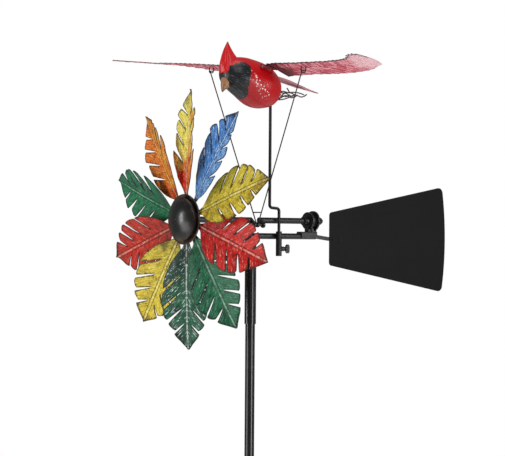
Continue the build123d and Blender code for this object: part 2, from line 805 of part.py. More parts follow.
def rod_x(side, z):
    share = (z - PIN_POINT_Z) / (HOOK_Z[side] - PIN_POINT_Z)
    return CRANK_X + share * (side * LOOP_X - CRANK_X)


def crossbar():
    middle = (ROD_Y[-1] + ROD_Y[1]) / 2
    left = rod_x(-1, CROSSBAR_Z)
    right = rod_x(1, CROSSBAR_Z)
    with BuildPart() as bar:
        with BuildSketch(Plane(origin=(left, middle, CROSSBAR_Z), z_dir=(1, 0, 0))):
            Circle(WIRE_R)
        extrude(amount=right - left)
        for side in (-1, 1):
            eye = Vector(CRANK_X, ROD_Y[side], PIN_POINT_Z)
            hook = Vector(side * LOOP_X, ROD_Y[side], HOOK_Z[side])
            with BuildSketch(Plane(origin=eye, z_dir=hook - eye)):
                Circle(WIRE_R)
            extrude(amount=60, mode=Mode.SUBTRACT)
    save(bar, "push_rod_crossbar")


def crank_pin():
    start = FRONT_WEB_Y + WEB_THICKNESS + PIN_PLAY
    with BuildPart() as pin:
        with BuildSketch(lengthwise(CRANK_X, start, PIN_POINT_Z)):
            Circle(PIN_R)
        extrude(amount=REAR_WEB_Y - PIN_PLAY - start)
    save(pin, "crank_pin")


push_rod("push_rod_left", -1)
push_rod("push_rod_right", 1)
crossbar()
crank_pin()

# ---- propeller: shafts and crank webs ----------------------------------------------------
NUT_FACE_Y = -149.0
SHAFT_REAR_END = 153.0


def crank_shaft(label, start, end, web_y):
    # half of the built-up crankshaft: a plain shaft with a web welded to its inner end
    reach = math.hypot(CRANK_X, CRANK_Z)
    turn = math.degrees(math.atan2(-CRANK_Z, CRANK_X))
    with BuildPart() as shaft:
        with BuildSketch(lengthwise(0, web_y, SHAFT_Z)):
            with Locations((CRANK_X / 2, -CRANK_Z / 2)):
                SlotCenterToCenter(reach, 2 * WEB_R, rotation=turn)
        extrude(amount=WEB_THICKNESS)
        chamfer(shaft.edges().group_by(Axis.Y)[0], length=0.5)
        chamfer(shaft.edges().group_by(Axis.Y)[-1], length=0.5)
        with BuildSketch(lengthwise(0, start, SHAFT_Z)):
            Circle(SHAFT_R)
        extrude(amount=end - start)
    save(shaft, label)


def shaft_washers():
    with BuildPart() as rings:
        for y, outer in ((-121.6, 6), (-120.1, 6), (139.4, 7), (141.6, 7)):
            with BuildSketch(lengthwise(0, y, SHAFT_Z)):
                Circle(outer)
                Circle(SHAFT_R, mode=Mode.SUBTRACT)
            extrude(amount=1.2)
    save(rings, "shaft_washers")


def cap_nut():
    start = 143.7
    with BuildPart() as nut:
        with BuildSketch(lengthwise(0, start, SHAFT_Z)):
            RegularPolygon(7, 6)
        extrude(amount=6)
        with BuildSketch(Plane.YZ):
            with BuildLine():
                Line((start + 6, SHAFT_Z), (start + 6, SHAFT_Z + 5.4))
                dome_arc(start + 6, 5.4, start + 12)
                Line((start + 12, SHAFT_Z), (start + 6, SHAFT_Z))
            make_face()
        revolve(axis=Axis((0, 0, SHAFT_Z), (0, 1, 0)))
        with BuildSketch(lengthwise(0, start, SHAFT_Z)):
            Circle(SHAFT_R)
        extrude(amount=SHAFT_REAR_END - start, mode=Mode.SUBTRACT)
    save(nut, "rear_cap_nut")


crank_shaft("front_crankshaft", NUT_FACE_Y, FRONT_WEB_Y, FRONT_WEB_Y)
crank_shaft("rear_crankshaft", REAR_WEB_Y + WEB_THICKNESS, SHAFT_REAR_END, REAR_WEB_Y)
shaft_washers()
cap_nut()

# ---- propeller: hub ----------------------------------------------------------------------
CORE_R = 12.0
CORE_REAR = -121.8
COVER_REAR = DOME_Y + 1.5
RIVET_RING = 24.0
SHAFT_AXIS = Axis((0, 0, SHAFT_Z), (0, 1, 0))


def hub_dome():
    # shallow domed cover with a rolled flange
    with BuildPart() as dome:
        with BuildSketch(Plane.YZ):
            with BuildLine():
                Line((DOME_Y, SHAFT_Z), (DOME_Y, SHAFT_Z + DOME_R))
                Line((DOME_Y, SHAFT_Z + DOME_R), (DOME_Y - 1.2, SHAFT_Z + DOME_R))
                dome_arc(DOME_Y - 1.2, DOME_R, DOME_Y - DOME_RISE)
                Line((DOME_Y - DOME_RISE, SHAFT_Z), (DOME_Y, SHAFT_Z))
            make_face()
        revolve(axis=SHAFT_AXIS)
        with BuildSketch(Plane.YZ):
            with BuildLine():
                Line((DOME_Y, SHAFT_Z), (DOME_Y, SHAFT_Z + DOME_R - 3))
                dome_arc(DOME_Y, DOME_R - 3, DOME_Y - DOME_RISE + 1.5)
                Line((DOME_Y - DOME_RISE + 1.5, SHAFT_Z), (DOME_Y, SHAFT_Z))
            make_face()
        revolve(axis=SHAFT_AXIS, mode=Mode.SUBTRACT)
    save(dome, "hub_dome")


def hub_plates():
    with BuildPart() as plate:
        with BuildSketch(lengthwise(0, DOME_Y, SHAFT_Z)):
            Circle(DOME_R)
            Circle(SHAFT_R, mode=Mode.SUBTRACT)
        extrude(amount=1.5)
    save(plate, "hub_cover_plate")
    with BuildPart() as core:
        with BuildSketch(lengthwise(0, COVER_REAR, SHAFT_Z)):
            Circle(CORE_R)
            Circle(SHAFT_R, mode=Mode.SUBTRACT)
        extrude(amount=CORE_REAR - COVER_REAR)
    save(core, "hub_core")
    with BuildPart() as dish:
        with BuildSketch(Plane.YZ):
            with BuildLine():
                Polyline(
                    (HUB_Y - 2, SHAFT_Z + CORE_R),
                    (HUB_Y - 2, SHAFT_Z + DISH_R - 8),
                    (HUB_Y - 5, SHAFT_Z + DISH_R),
                    (HUB_Y - 3, SHAFT_Z + DISH_R),
                    (HUB_Y, SHAFT_Z + DISH_R - 8),
                    (HUB_Y, SHAFT_Z + CORE_R),
                    close=True,
                )
            make_face()
        revolve(axis=SHAFT_AXIS)
        for number in range(LEAF_COUNT):
            with BuildSketch(rivet_plane(number, HUB_Y - 2)):
                Circle(RIVET_R)
            extrude(amount=2, mode=Mode.SUBTRACT)
    save(dish, "hub_dish")


def hub_nut():
    with BuildPart() as nut:
        with BuildSketch(lengthwise(0, DOME_Y - 5, SHAFT_Z)):
            RegularPolygon(6, 6)
            Circle(SHAFT_R, mode=Mode.SUBTRACT)
        extrude(amount=5)
    save(nut, "hub_nut")


# ---- propeller: leaves -------------------------------------------------------------------
LEAF_MARGIN = ((22, 62), (39, 92), (45.5, 128), (38, 165), (20, 195))
STRAP_HALF = 5.0
STRAP_START = 18.0
STRAP_END = 42.0
SLIT_STARTS = (76, 102, 128, 152)
LEAF_MID_Y = HUB_Y + (STRAP_HALF + 0.2) * math.sin(math.radians(LEAF_PITCH)) + SHEET / 2


def leaf_turn(number):
    return math.radians(number * 360 / LEAF_COUNT)


def rivet_plane(number, y):
    turn = leaf_turn(number)
    x = RIVET_RING * math.sin(turn)
    return lengthwise(x, y, SHAFT_Z + RIVET_RING * math.cos(turn))


def leaf_plane(number):
    # local Y points outward along the leaf, local X to its forward edge
    turn = leaf_turn(number)
    pitch = math.radians(LEAF_PITCH)
    outward = Vector(math.sin(turn), 0, math.cos(turn))
    across = Vector(
        math.cos(turn) * math.cos(pitch), -math.sin(pitch), -math.sin(turn) * math.cos(pitch)
    )
    return Plane(origin=(0, LEAF_MID_Y, SHAFT_Z), x_dir=across, z_dir=across.cross(outward))


def leaf(number):
    right = [(x, y) for x, y in LEAF_MARGIN]
    left = [(-x, y) for x, y in reversed(LEAF_MARGIN)]
    with BuildPart() as blade:
        with BuildSketch(leaf_plane(number).offset(-SHEET / 2)):
            with BuildLine():
                Line((-STRAP_HALF, STRAP_END), (-STRAP_HALF, STRAP_START))
                Line((-STRAP_HALF, STRAP_START), (STRAP_HALF, STRAP_START))
                Line((STRAP_HALF, STRAP_START), (STRAP_HALF, STRAP_END))
                Spline((STRAP_HALF, STRAP_END), *right, (0, LEAF_TIP))
                Spline((0, LEAF_TIP), *left, (-STRAP_HALF, STRAP_END))
            make_face()
            for start in SLIT_STARTS:
                for side in (-1, 1):
                    with BuildLine():
                        Polyline(
                            (side * 9, start),
                            (side * 52, start + 34),
                            (side * 52, start + 39),
                            close=True,
                        )
                    make_face(mode=Mode.SUBTRACT)
        extrude(amount=SHEET)
        with BuildSketch(rivet_plane(number, HUB_Y - 4)):
            Circle(RIVET_R)
        extrude(amount=20, mode=Mode.SUBTRACT)
    save(blade, f"leaf_{number + 1:02d}")


def leaf_rivets():
    with BuildPart() as rivets:
        for number in range(LEAF_COUNT):
            with BuildSketch(rivet_plane(number, HUB_Y - 3.2)):
                Circle(RIVET_R + 1.2)
            extrude(amount=1.2)
            with BuildSketch(rivet_plane(number, HUB_Y - 2)):
                Circle(RIVET_R)
            extrude(amount=6.5)
    save(rivets, "leaf_rivets")


hub_dome()
hub_plates()
hub_nut()
for number in range(LEAF_COUNT):
    leaf(number)
leaf_rivets()
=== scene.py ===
"""Wind spinner: a cardinal with flapping wings over a ten-leaf propeller and a tail vane.

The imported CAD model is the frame. Tubes, bearings, screws and rods are its own nodes with a
painted or bare metal finish. The leaves, wings, bird and hub covers are detailed meshes that
stand for their plain CAD nodes.
"""

import json
import math
import random

import bpy
import numpy as np
from mathutils import Matrix, Vector, noise


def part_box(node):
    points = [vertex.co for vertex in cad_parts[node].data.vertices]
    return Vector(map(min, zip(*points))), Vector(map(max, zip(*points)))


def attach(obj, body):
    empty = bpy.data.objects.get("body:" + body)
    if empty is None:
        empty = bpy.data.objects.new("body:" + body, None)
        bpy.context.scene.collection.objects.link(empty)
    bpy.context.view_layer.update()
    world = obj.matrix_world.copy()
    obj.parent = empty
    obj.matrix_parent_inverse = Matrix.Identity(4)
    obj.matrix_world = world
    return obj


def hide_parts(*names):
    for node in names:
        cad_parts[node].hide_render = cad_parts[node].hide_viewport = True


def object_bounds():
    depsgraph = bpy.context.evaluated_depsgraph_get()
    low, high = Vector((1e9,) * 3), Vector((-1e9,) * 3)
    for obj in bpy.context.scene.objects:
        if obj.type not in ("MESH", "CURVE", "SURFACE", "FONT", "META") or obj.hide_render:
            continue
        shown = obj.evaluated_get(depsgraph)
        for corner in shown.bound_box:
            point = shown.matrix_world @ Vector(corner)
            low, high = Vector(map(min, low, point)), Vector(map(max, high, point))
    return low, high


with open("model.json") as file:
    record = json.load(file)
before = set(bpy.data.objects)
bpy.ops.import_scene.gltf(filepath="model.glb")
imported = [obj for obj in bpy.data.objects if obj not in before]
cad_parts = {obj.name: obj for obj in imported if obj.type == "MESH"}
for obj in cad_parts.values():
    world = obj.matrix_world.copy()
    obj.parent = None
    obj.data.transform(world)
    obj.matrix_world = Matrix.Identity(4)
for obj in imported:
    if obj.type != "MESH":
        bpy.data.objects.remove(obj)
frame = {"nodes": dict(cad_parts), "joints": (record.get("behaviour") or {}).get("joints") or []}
cad_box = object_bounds()
nodes = frame["nodes"]
joints = {joint["name"]: joint for joint in frame["joints"]}
scene = bpy.context.scene

MM = 0.001
SHEET = 1.2                   # thickness of a leaf, in mm
SHAFT_Z = joints["propeller_spin"]["pos_m"][2]
SHAFT_MM = SHAFT_Z / MM


# ---- meshes ------------------------------------------------------------------------------
def smooth_curve(points):
    """A smooth function through (x, y) points with rising x."""
    xs, ys = np.array(points, float).T
    slopes = np.gradient(ys, xs)

    def value(x):
        x = np.clip(x, xs[0], xs[-1])
        i = np.clip(np.searchsorted(xs, x) - 1, 0, len(xs) - 2)
        h = xs[i + 1] - xs[i]
        t = (x - xs[i]) / h
        rise = t * t * (3 - 2 * t)
        start = t * (1 - t) ** 2 * h * slopes[i]
        end = t * t * (t - 1) * h * slopes[i + 1]
        return float((1 - rise) * ys[i] + rise * ys[i + 1] + start + end)

    return value


def grid_faces(rows, columns, wrap=False):
    """Quads of a grid numbered row by row; wrap joins its last column to its first."""
    faces = []
    last = columns if wrap else columns - 1
    for i in range(rows - 1):
        a, b = i * columns, (i + 1) * columns
        for j in range(last):
            k = (j + 1) % columns
            faces.append((a + j, a + k, b + k, b + j))
    return faces


def capped(rows, steps):
    """Faces of a closed tube: a wrapped grid with a cap on each end."""
    faces = grid_faces(rows, steps, wrap=True)
    faces.append(tuple(reversed(range(steps))))
    faces.append(tuple(range((rows - 1) * steps, rows * steps)))
    return faces


def turns(steps):
    return [2 * math.pi * j / steps for j in range(steps)]


def new_mesh(name, points, faces):
    mesh = bpy.data.meshes.new(name)
    mesh.from_pydata([tuple(c * MM for c in p) for p in points], [], faces)
    return mesh


def new_object(name, data):
    made = bpy.data.objects.new(name, data)
    scene.collection.objects.link(made)
    return made


def facts_of(names, marks):
    """Facts for add_piece, from one tuple of numbers for each point."""
    return dict(zip(names.split(), zip(*marks)))


def add_piece(name, points, faces, body, slot, material, facts=None):
    """A smooth mesh from points in mm, riding on a body. facts are numbers kept on its points."""
    mesh = new_mesh(name, points, faces)
    mesh.update()
    mesh.polygons.foreach_set("use_smooth", [True] * len(mesh.polygons))
    for key, values in (facts or {}).items():
        layer = mesh.attributes.new(key, "FLOAT", "POINT")
        layer.data.foreach_set("value", np.array(values, np.float32))
    mesh.materials.append(material)
    piece = new_object(name, mesh)
    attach(piece, body)
    return piece


def thicken(piece, thickness, offset=0.0, even=True):
    solid = piece.modifiers.new("thickness", "SOLIDIFY")
    solid.thickness = thickness * MM
    solid.offset = offset
    solid.use_even_offset = even


def lathe(profile, steps):
    """Points and faces of a profile of (radius, y) turned round the shaft axis."""
    points = []
    for radius, y in profile:
        for turn in turns(steps):
            points.append((radius * math.sin(turn), y, SHAFT_MM + radius * math.cos(turn)))
    return points, grid_faces(len(profile), steps, wrap=True)


def tube(path, radius):
    """Points and faces of a wire along a path, with rounded ends."""
    points = []
    sides = 10
    count = len(path)
    normal = (path[1] - path[0]).orthogonal().normalized()
    for i, centre in enumerate(path):
        ahead = (path[min(i + 1, count - 1)] - path[max(i - 1, 0)]).normalized()
        normal = (normal - ahead * normal.dot(ahead)).normalized()
        side = ahead.cross(normal)
        size = radius * (0.55 if i in (0, count - 1) else 1)
        for turn in turns(sides):
            points.append(centre + (normal * math.cos(turn) + side * math.sin(turn)) * size)
    return points, capped(count, sides)


def spline_path(points, steps):
    """Points along a smooth line through the given ones."""
    points = [Vector(p) for p in points]
    at = [0.0]
    for a, b in zip(points, points[1:]):
        at.append(at[-1] + (b - a).length)
    curves = [smooth_curve([(t, p[axis]) for t, p in zip(at, points)]) for axis in range(3)]
    return [Vector(curve(at[-1] * i / steps) for curve in curves) for i in range(steps + 1)]


def join_parts(parts):
    """One list of points and faces from several."""
    points = []
    faces = []
    for more_points, more_faces in parts:
        start = len(points)
        points.extend(more_points)
        faces.extend(tuple(start + i for i in face) for face in more_faces)
    return points, faces


# ---- materials ---------------------------------------------------------------------------
def linear(red, green, blue):
    """A colour given as screen values from 0 to 255."""
    def channel(value):
        value = value / 255
        return value / 12.92 if value <= 0.04045 else ((value + 0.055) / 1.055) ** 2.4

    return (channel(red), channel(green), channel(blue), 1.0)


NOISE_LOW, NOISE_HIGH = 0.3, 0.7      # nearly all of a noise lies between these


class Finish:
    """A procedural material, built node by node round one Principled shader."""

    def __init__(self, name, **settings):
        self.material = bpy.data.materials.new(name)
        self.material.use_nodes = True
        self.tree = self.material.node_tree
        self.shader = self.tree.nodes["Principled BSDF"]
        for key, value in settings.items():
            label = key.replace("_", " ").title().replace("Ior", "IOR")
            self.shader.inputs[label].default_value = value
        self.place = self.node("TexCoord").outputs["Object"]

    def feed(self, socket, value):
        if isinstance(value, bpy.types.NodeSocket):
            self.tree.links.new(value, socket)
        else:
            socket.default_value = value

    def node(self, kind, inputs=None, **settings):
        made = self.tree.nodes.new("ShaderNode" + kind)
        for key, value in settings.items():
            setattr(made, key, value)
        for key, value in (inputs or {}).items():
            self.feed(made.inputs[key], value)
        return made

    def fact(self, name):
        return self.node("Attribute", attribute_name=name).outputs["Fac"]

    def maths(self, operation, a, b):
        return self.node("Math", {0: a, 1: b}, operation=operation).outputs[0]

    def times(self, a, b):
        return self.maths("MULTIPLY", a, b)

    def plus(self, a, b):
        return self.maths("ADD", a, b)

    def rest(self, value):
        """What is left of 1."""
        return self.maths("SUBTRACT", 1.0, value)

    def vector(self, x, y):
        return self.node("CombineXYZ", {0: x, 1: y}).outputs[0]

    def noise(self, scale, detail=4.0, rough=0.55, place=None, bend=0.0):
        inputs = {"Vector": place or self.place, "Scale": scale, "Detail": detail}
        inputs |= {"Roughness": rough, "Distortion": bend}
        return self.node("TexNoise", inputs).outputs["Fac"]

    def strokes(self, x, x_scale, y, y_scale, detail=4.0, rough=0.55, bend=0.0):
        """Noise drawn out over two facts of the mesh, the way a brush or a feather runs."""
        place = self.vector(self.times(self.fact(x), x_scale), self.times(self.fact(y), y_scale))
        return self.noise(1.0, detail, rough, place, bend)

    def step(self, value, low, high):
        """0 below low, 1 above high, and smooth between."""
        inputs = {"Value": value, "From Min": low, "From Max": high}
        made = self.node("MapRange", inputs, interpolation_type="SMOOTHSTEP")
        return made.outputs["Result"]

    def scaled(self, value, low, high, to_low, to_high):
        inputs = {"Value": value, "From Min": low, "From Max": high}
        inputs |= {"To Min": to_low, "To Max": to_high}
        return self.node("MapRange", inputs).outputs["Result"]

    def spread(self, noise_value, to_low, to_high):
        """The usual reach of a noise, mapped to a new one."""
        return self.scaled(noise_value, NOISE_LOW, NOISE_HIGH, to_low, to_high)

    def mix(self, share, a, b, blend="MIX"):
        """Each of a and b is a screen colour or the output of a node."""
        a, b = (linear(*value) if isinstance(value, tuple) else value for value in (a, b))
        made = self.node("Mix", {0: share, 6: a, 7: b}, data_type="RGBA", blend_type=blend)
        return made.outputs[2]

    def ramp(self, value, stops):
        """A smooth run through (place, screen colour) stops."""
        made = self.node("ValToRGB", {0: value})
        elements = made.color_ramp.elements
        while len(elements) < len(stops):
            elements.new(0.5)
        for element, (at, colour) in zip(elements, stops):
            element.position = at
            element.color = linear(*colour)
        return made.outputs["Color"]

    def edges(self, width):
        """About 1 along sharp outer edges and 0 on flat faces."""
        rounded = self.node("Bevel", {"Radius": width}, samples=4).outputs["Normal"]
        flat = self.node("NewGeometry").outputs["Normal"]
        made = self.node("VectorMath", {0: rounded, 1: flat}, operation="DOT_PRODUCT")
        return self.rest(made.outputs["Value"])

    def finish(self, colour, roughness, height=None, depth=0.0002, strength=0.6):
        self.feed(self.shader.inputs["Base Color"], colour)
        self.feed(self.shader.inputs["Roughness"], roughness)
        if height is not None:
            bump = self.node("Bump", {"Height": height, "Distance": depth, "Strength": strength})
            self.feed(self.shader.inputs["Normal"], bump.outputs["Normal"])
        return self.material


def black_paint(name, roughness, wear):
    """Black enamel on steel: orange peel, dust, dull patches and rubbed edges."""
    f = Finish(name, specular_ior_level=0.45)
    patches = f.noise(38.0, 5.0)
    dust = f.step(f.noise(420.0, 3.0), 0.60, 0.80)
    tone = f.mix(patches, (10, 10, 11), (24, 23, 23))
    tone = f.mix(f.times(dust, 0.22), tone, (96, 94, 90))
    rubbed = f.times(f.step(f.edges(0.0009), 0.03, 0.25), f.step(patches, 0.40, 0.62))
    tone = f.mix(f.times(rubbed, wear), tone, (128, 124, 118))
    rough = f.spread(patches, roughness - 0.07, roughness + 0.10)
    peel = f.noise(650.0, 2.0)
    return f.finish(tone, rough, peel, depth=0.00012, strength=0.35)


def bare_steel(name):
    """Zinc-plated steel: spangle, fine scratches and dull spots."""
    f = Finish(name, metallic=1.0)
    grain = f.node("TexVoronoi", {"Vector": f.place, "Scale": 700.0}).outputs["Color"]
    spots = f.noise(160.0, 6.0)
    tone = f.mix(0.25, (168, 166, 160), grain, "MULTIPLY")
    tone = f.mix(f.step(spots, 0.5, 0.72), tone, (92, 86, 78))
    stretched = f.node("Mapping", {0: f.place, "Scale": (1, 1, 12)}).outputs[0]
    scratches = f.noise(900.0, 2.0, place=stretched)
    rough = f.spread(spots, 0.26, 0.48)
    return f.finish(tone, rough, scratches, depth=0.00008, strength=0.4)


def satin_vane(name):
    """Powder-coated sheet: a fine even grain with faint clouds and paler edges, partly a pale cut
    edge and partly a painted highlight along it.
    """
    f = Finish(name, specular_ior_level=0.1)
    clouds = f.noise(14.0, 4.0)
    grain = f.noise(1400.0, 2.0)
    tone = f.mix(clouds, (13, 13, 14), (22, 22, 23))
    tone = f.mix(f.times(f.step(grain, 0.55, 0.75), 0.25), tone, (48, 48, 50))
    # paler edges: partly a pale cut edge, partly a painted highlight along the edge
    tone = f.mix(f.times(f.step(f.edges(0.0007), 0.05, 0.3), 0.5), tone, (112, 111, 108))
    rough = f.spread(grain, 0.46, 0.62)
    return f.finish(tone, rough, grain, depth=0.0001, strength=0.3)


def bronzed_black(name):
    """Black lacquer with brown clouds over the rear dish and paler brown edges, partly wear and
    partly a painted highlight along the rolled rim.
    """
    f = Finish(name, coat_weight=0.3, coat_roughness=0.15)
    clouds = f.noise(60.0, 5.0, bend=0.6)
    tone = f.mix(f.step(clouds, 0.42, 0.66), (24, 21, 20), (74, 50, 36))
    # paler brown edges: partly wear, partly a painted highlight along the rolled rim
    tone = f.mix(f.times(f.step(f.edges(0.0009), 0.03, 0.25), 0.5), tone, (130, 104, 78))
    rough = f.spread(clouds, 0.24, 0.42)
    return f.finish(tone, rough, f.noise(500.0, 3.0), depth=0.00012, strength=0.35)


def dome_lacquer(name):
    """Deep gloss black with a faint brushed ring pattern and brown specks towards the rim."""
    f = Finish(name, specular_ior_level=0.38)
    reach = f.fact("reach")
    clouds = f.noise(90.0, 5.0)
    rings = f.noise(60.0, 3.0, place=f.vector(f.times(reach, 4.0), clouds))
    tone = f.mix(rings, (6, 6, 7), (22, 20, 19))
    rim = f.times(f.step(reach, 0.72, 1.0), f.step(clouds, 0.45, 0.65))
    tone = f.mix(f.times(rim, 0.6), tone, (84, 58, 42))
    rough = f.spread(rings, 0.20, 0.34)
    return f.finish(tone, rough, f.noise(420.0, 2.0), depth=0.0001, strength=0.25)


def leaf_paint(name, root, blade, tip, second, streak, streaks, border, root_ends):
    """Hand-painted leaf: colours run into one another along it, with brush strokes that follow
    the veins, a painted highlight along the raised midrib with painted shade in the creases beside
    it, and a dark border along the margin and the cuts."""
    f = Finish(name, specular_ior_level=0.22)
    along = f.fact("along")
    reach = f.fact("reach")
    blotches = f.noise(44.0, 5.0, 0.6)
    wander = f.spread(blotches, -0.12, 0.12)
    place = f.plus(along, wander)
    stops = ((0.08, root), (root_ends, root), (root_ends + 0.2, blade), (0.86, blade), (1.0, tip))
    tone = f.ramp(place, stops)
    half = f.step(f.plus(f.fact("across"), wander), -0.25, 0.5)
    shade = f.times(half, f.step(blotches, 0.38, 0.62))
    tone = f.mix(shade, tone, second)
    strokes = f.strokes("reach", 0.10, "vein", 0.34, 6.0, 0.7, 0.35)
    deep = f.mix(1.0, tone, border, "MULTIPLY")
    tone = f.mix(f.scaled(strokes, 0.36, 0.48, 0.9, 0.0), tone, f.mix(0.85, tone, deep))
    brushed = f.times(f.step(strokes, 0.56, 0.63), streaks)
    tone = f.mix(brushed, tone, streak)
    # painted highlight: a pale broken streak along the raised midrib
    rib = f.rest(f.step(reach, 0.5, 1.8))
    rib = f.times(rib, f.step(f.noise(130.0, 4.0), 0.36, 0.58))
    tone = f.mix(f.times(rib, 0.6), tone, streak)
    # painted shade in the creases either side of the raised midrib
    rib_crease_shade = f.times(f.step(reach, 1.6, 2.6), f.rest(f.step(reach, 2.8, 4.5)))
    tone = f.mix(f.times(rib_crease_shade, 0.7), tone, deep)
    ragged = f.maths("SUBTRACT", f.fact("rim"), f.spread(f.noise(240.0, 4.0, 0.65), -1.0, 3.2))
    edge = f.rest(f.step(ragged, 0.0, 1.4))
    tone = f.mix(f.times(edge, 0.85), tone, border)
    soot = f.times(f.rest(f.step(place, 0.2, 0.5)), f.step(f.noise(85.0, 5.0, 0.65), 0.44, 0.6))
    tone = f.mix(f.times(soot, 0.6), tone, deep)
    specks = f.step(f.noise(360.0, 5.0, 0.75), 0.55, 0.60)
    specks = f.times(specks, f.scaled(blotches, 0.35, 0.6, 0.25, 0.95))
    tone = f.mix(specks, tone, border)
    rough = f.spread(strokes, 0.36, 0.56)
    height = f.plus(strokes, f.times(f.noise(520.0, 3.0), 0.5))
    return f.finish(tone, rough, height, depth=0.0005, strength=0.55)


def bird_paint(name):
    """Cardinal enamel: a deep red with a black bib and face, dry-brushed grey feather strokes
    and white flecks down the flank."""
    f = Finish(name, specular_ior_level=0.3, coat_weight=0.1, coat_roughness=0.1)
    clouds = f.noise(60.0, 5.0)
    under = f.fact("under")
    tone = f.mix(clouds, (180, 2, 8), (196, 8, 16))
    # painted shade: the body is darker towards its underside
    tone = f.mix(f.step(under, 0.15, 0.95), tone, (172, 6, 20))
    barbs = f.strokes("back", 0.10, "round", 60.0)
    tone = f.mix(f.times(f.step(barbs, 0.56, 0.74), 0.35), tone, (138, 14, 24))
    fleck = f.node("TexVoronoi", {"Vector": f.place, "Scale": 270.0, "Randomness": 0.8})
    dots = f.rest(f.step(fleck.outputs["Distance"], 0.28, 0.42))
    chosen = f.step(f.node("SeparateColor", {0: fleck.outputs["Color"]}).outputs[0], 0.18, 0.22)
    flank = f.times(f.times(dots, chosen), f.step(f.fact("flank"), 0.2, 0.45))
    tone = f.mix(flank, tone, (244, 214, 208))
    ragged = f.plus(f.fact("bib"), f.spread(f.noise(260.0, 4.0), -1.6, 1.6))
    bib = f.step(ragged, -0.5, 0.9)
    dark = f.mix(clouds, (12, 13, 16), (26, 30, 32))
    dark = f.mix(f.times(f.step(barbs, 0.56, 0.66), 0.45), dark, (116, 118, 130))
    tone = f.mix(bib, tone, dark)
    rough = f.spread(barbs, 0.26, 0.44)
    height = f.plus(barbs, f.times(clouds, 0.6))
    return f.finish(tone, rough, height, depth=0.0004, strength=0.4)


def crest_paint(name):
    """The same red on the crest, with fine strokes that run up to its point."""
    f = Finish(name, specular_ior_level=0.4, coat_weight=0.15, coat_roughness=0.15)
    strokes = f.strokes("around", 9.0, "rise", 1.6)
    clouds = f.noise(90.0, 4.0)
    tone = f.mix(clouds, (182, 4, 12), (206, 14, 22))
    tone = f.mix(f.times(f.step(strokes, 0.52, 0.72), 0.55), tone, (142, 14, 24))
    tone = f.mix(f.step(f.fact("rise"), 0.86, 1.0), tone, (120, 40, 46))
    rough = f.spread(strokes, 0.28, 0.46)
    return f.finish(tone, rough, strokes, depth=0.0005, strength=0.5)


def horn(name):
    """Painted beak: tan at the base, umber towards the tip, with growth lines."""
    f = Finish(name, coat_weight=0.3, coat_roughness=0.2)
    lines = f.strokes("rise", 14.0, "around", 1.0)
    clouds = f.noise(300.0, 4.0)
    base, middle, front, tip = (128, 84, 66), (176, 124, 84), (158, 110, 70), (104, 74, 50)
    tone = f.ramp(f.fact("rise"), ((0.0, base), (0.35, middle), (0.75, front), (1.0, tip)))
    tone = f.mix(f.spread(lines, 0.0, 0.5), tone, (112, 72, 48))
    tone = f.mix(f.step(clouds, 0.58, 0.76), tone, (198, 156, 116))
    rough = f.spread(clouds, 0.34, 0.52)
    return f.finish(tone, rough, f.plus(lines, clouds), depth=0.0003, strength=0.4)


def wing_paint(name):
    """Rose-red wash over embossed feathers: painted shade in the hollows, pale strokes that are
    partly painted highlight along the raised barbs, bleached towards the tip, painted shade at the
    root."""
    f = Finish(name, specular_ior_level=0.3)
    along = f.fact("along")
    crest_line = f.fact("relief")
    barbs = f.strokes("feather", 3.4, "along", 16.0, rough=0.6, bend=0.3)
    clouds = f.noise(40.0, 5.0)
    tone = f.mix(clouds, (172, 34, 54), (200, 74, 94))
    # pale barb strokes, partly a painted highlight on the raised relief
    tone = f.mix(f.times(f.step(barbs, 0.48, 0.58), 0.85), tone, (240, 168, 178))
    # painted shade in the hollows of the embossed feathers
    hollow = f.rest(f.step(f.plus(crest_line, f.spread(barbs, -0.15, 0.15)), 0.15, 0.5))
    tone = f.mix(f.times(hollow, 0.9), tone, (96, 10, 24))
    bleached = f.times(f.step(f.plus(along, f.spread(clouds, -0.1, 0.1)), 0.62, 0.88), 0.75)
    tone = f.mix(f.times(bleached, f.step(crest_line, 0.1, 0.5)), tone, (240, 204, 210))
    front = f.rest(f.step(f.fact("inward"), 1.5, 5.0))
    tone = f.mix(f.times(front, 0.85), tone, (70, 34, 40))
    # painted shade at the wing root, by the hinge
    root_shade = f.rest(f.step(f.plus(along, f.spread(clouds, -0.05, 0.05)), 0.06, 0.2))
    tone = f.mix(f.times(root_shade, 0.85), tone, (48, 6, 12))
    rough = f.spread(barbs, 0.38, 0.58)
    return f.finish(tone, rough, barbs, depth=0.0005, strength=0.55)


def tail_paint(name):
    """Rose feathers with fine shafts and grey-brown stripes of painted shade where they overlap."""
    f = Finish(name, specular_ior_level=0.3)
    across = f.node("Math", {0: f.fact("side")}, operation="ABSOLUTE").outputs[0]
    barbs = f.strokes("along", 50.0, "side", 1.5)
    tone = f.mix(f.step(barbs, 0.4, 0.65), (232, 132, 150), (252, 210, 218))
    # painted shade: grey-brown stripes along the feather edges where they overlap
    tone = f.mix(f.times(f.step(across, 0.78, 0.96), 0.8), tone, (92, 66, 66))
    shaft = f.rest(f.step(across, 0.05, 0.14))
    tone = f.mix(f.times(shaft, 0.6), tone, (120, 50, 62))
    rough = f.spread(barbs, 0.38, 0.56)
    return f.finish(tone, rough, barbs, depth=0.0004, strength=0.5)


def wire_paint(name):
    """Dark brown lacquered wire, worn to a red undercoat."""
    f = Finish(name, coat_weight=0.3, coat_roughness=0.2)
    clouds = f.noise(220.0, 5.0)
    tone = f.mix(f.step(clouds, 0.48, 0.66), (52, 28, 32), (104, 44, 52))
    rough = f.spread(clouds, 0.30, 0.50)
    return f.finish(tone, rough, f.noise(900.0, 2.0), depth=0.0001, strength=0.4)


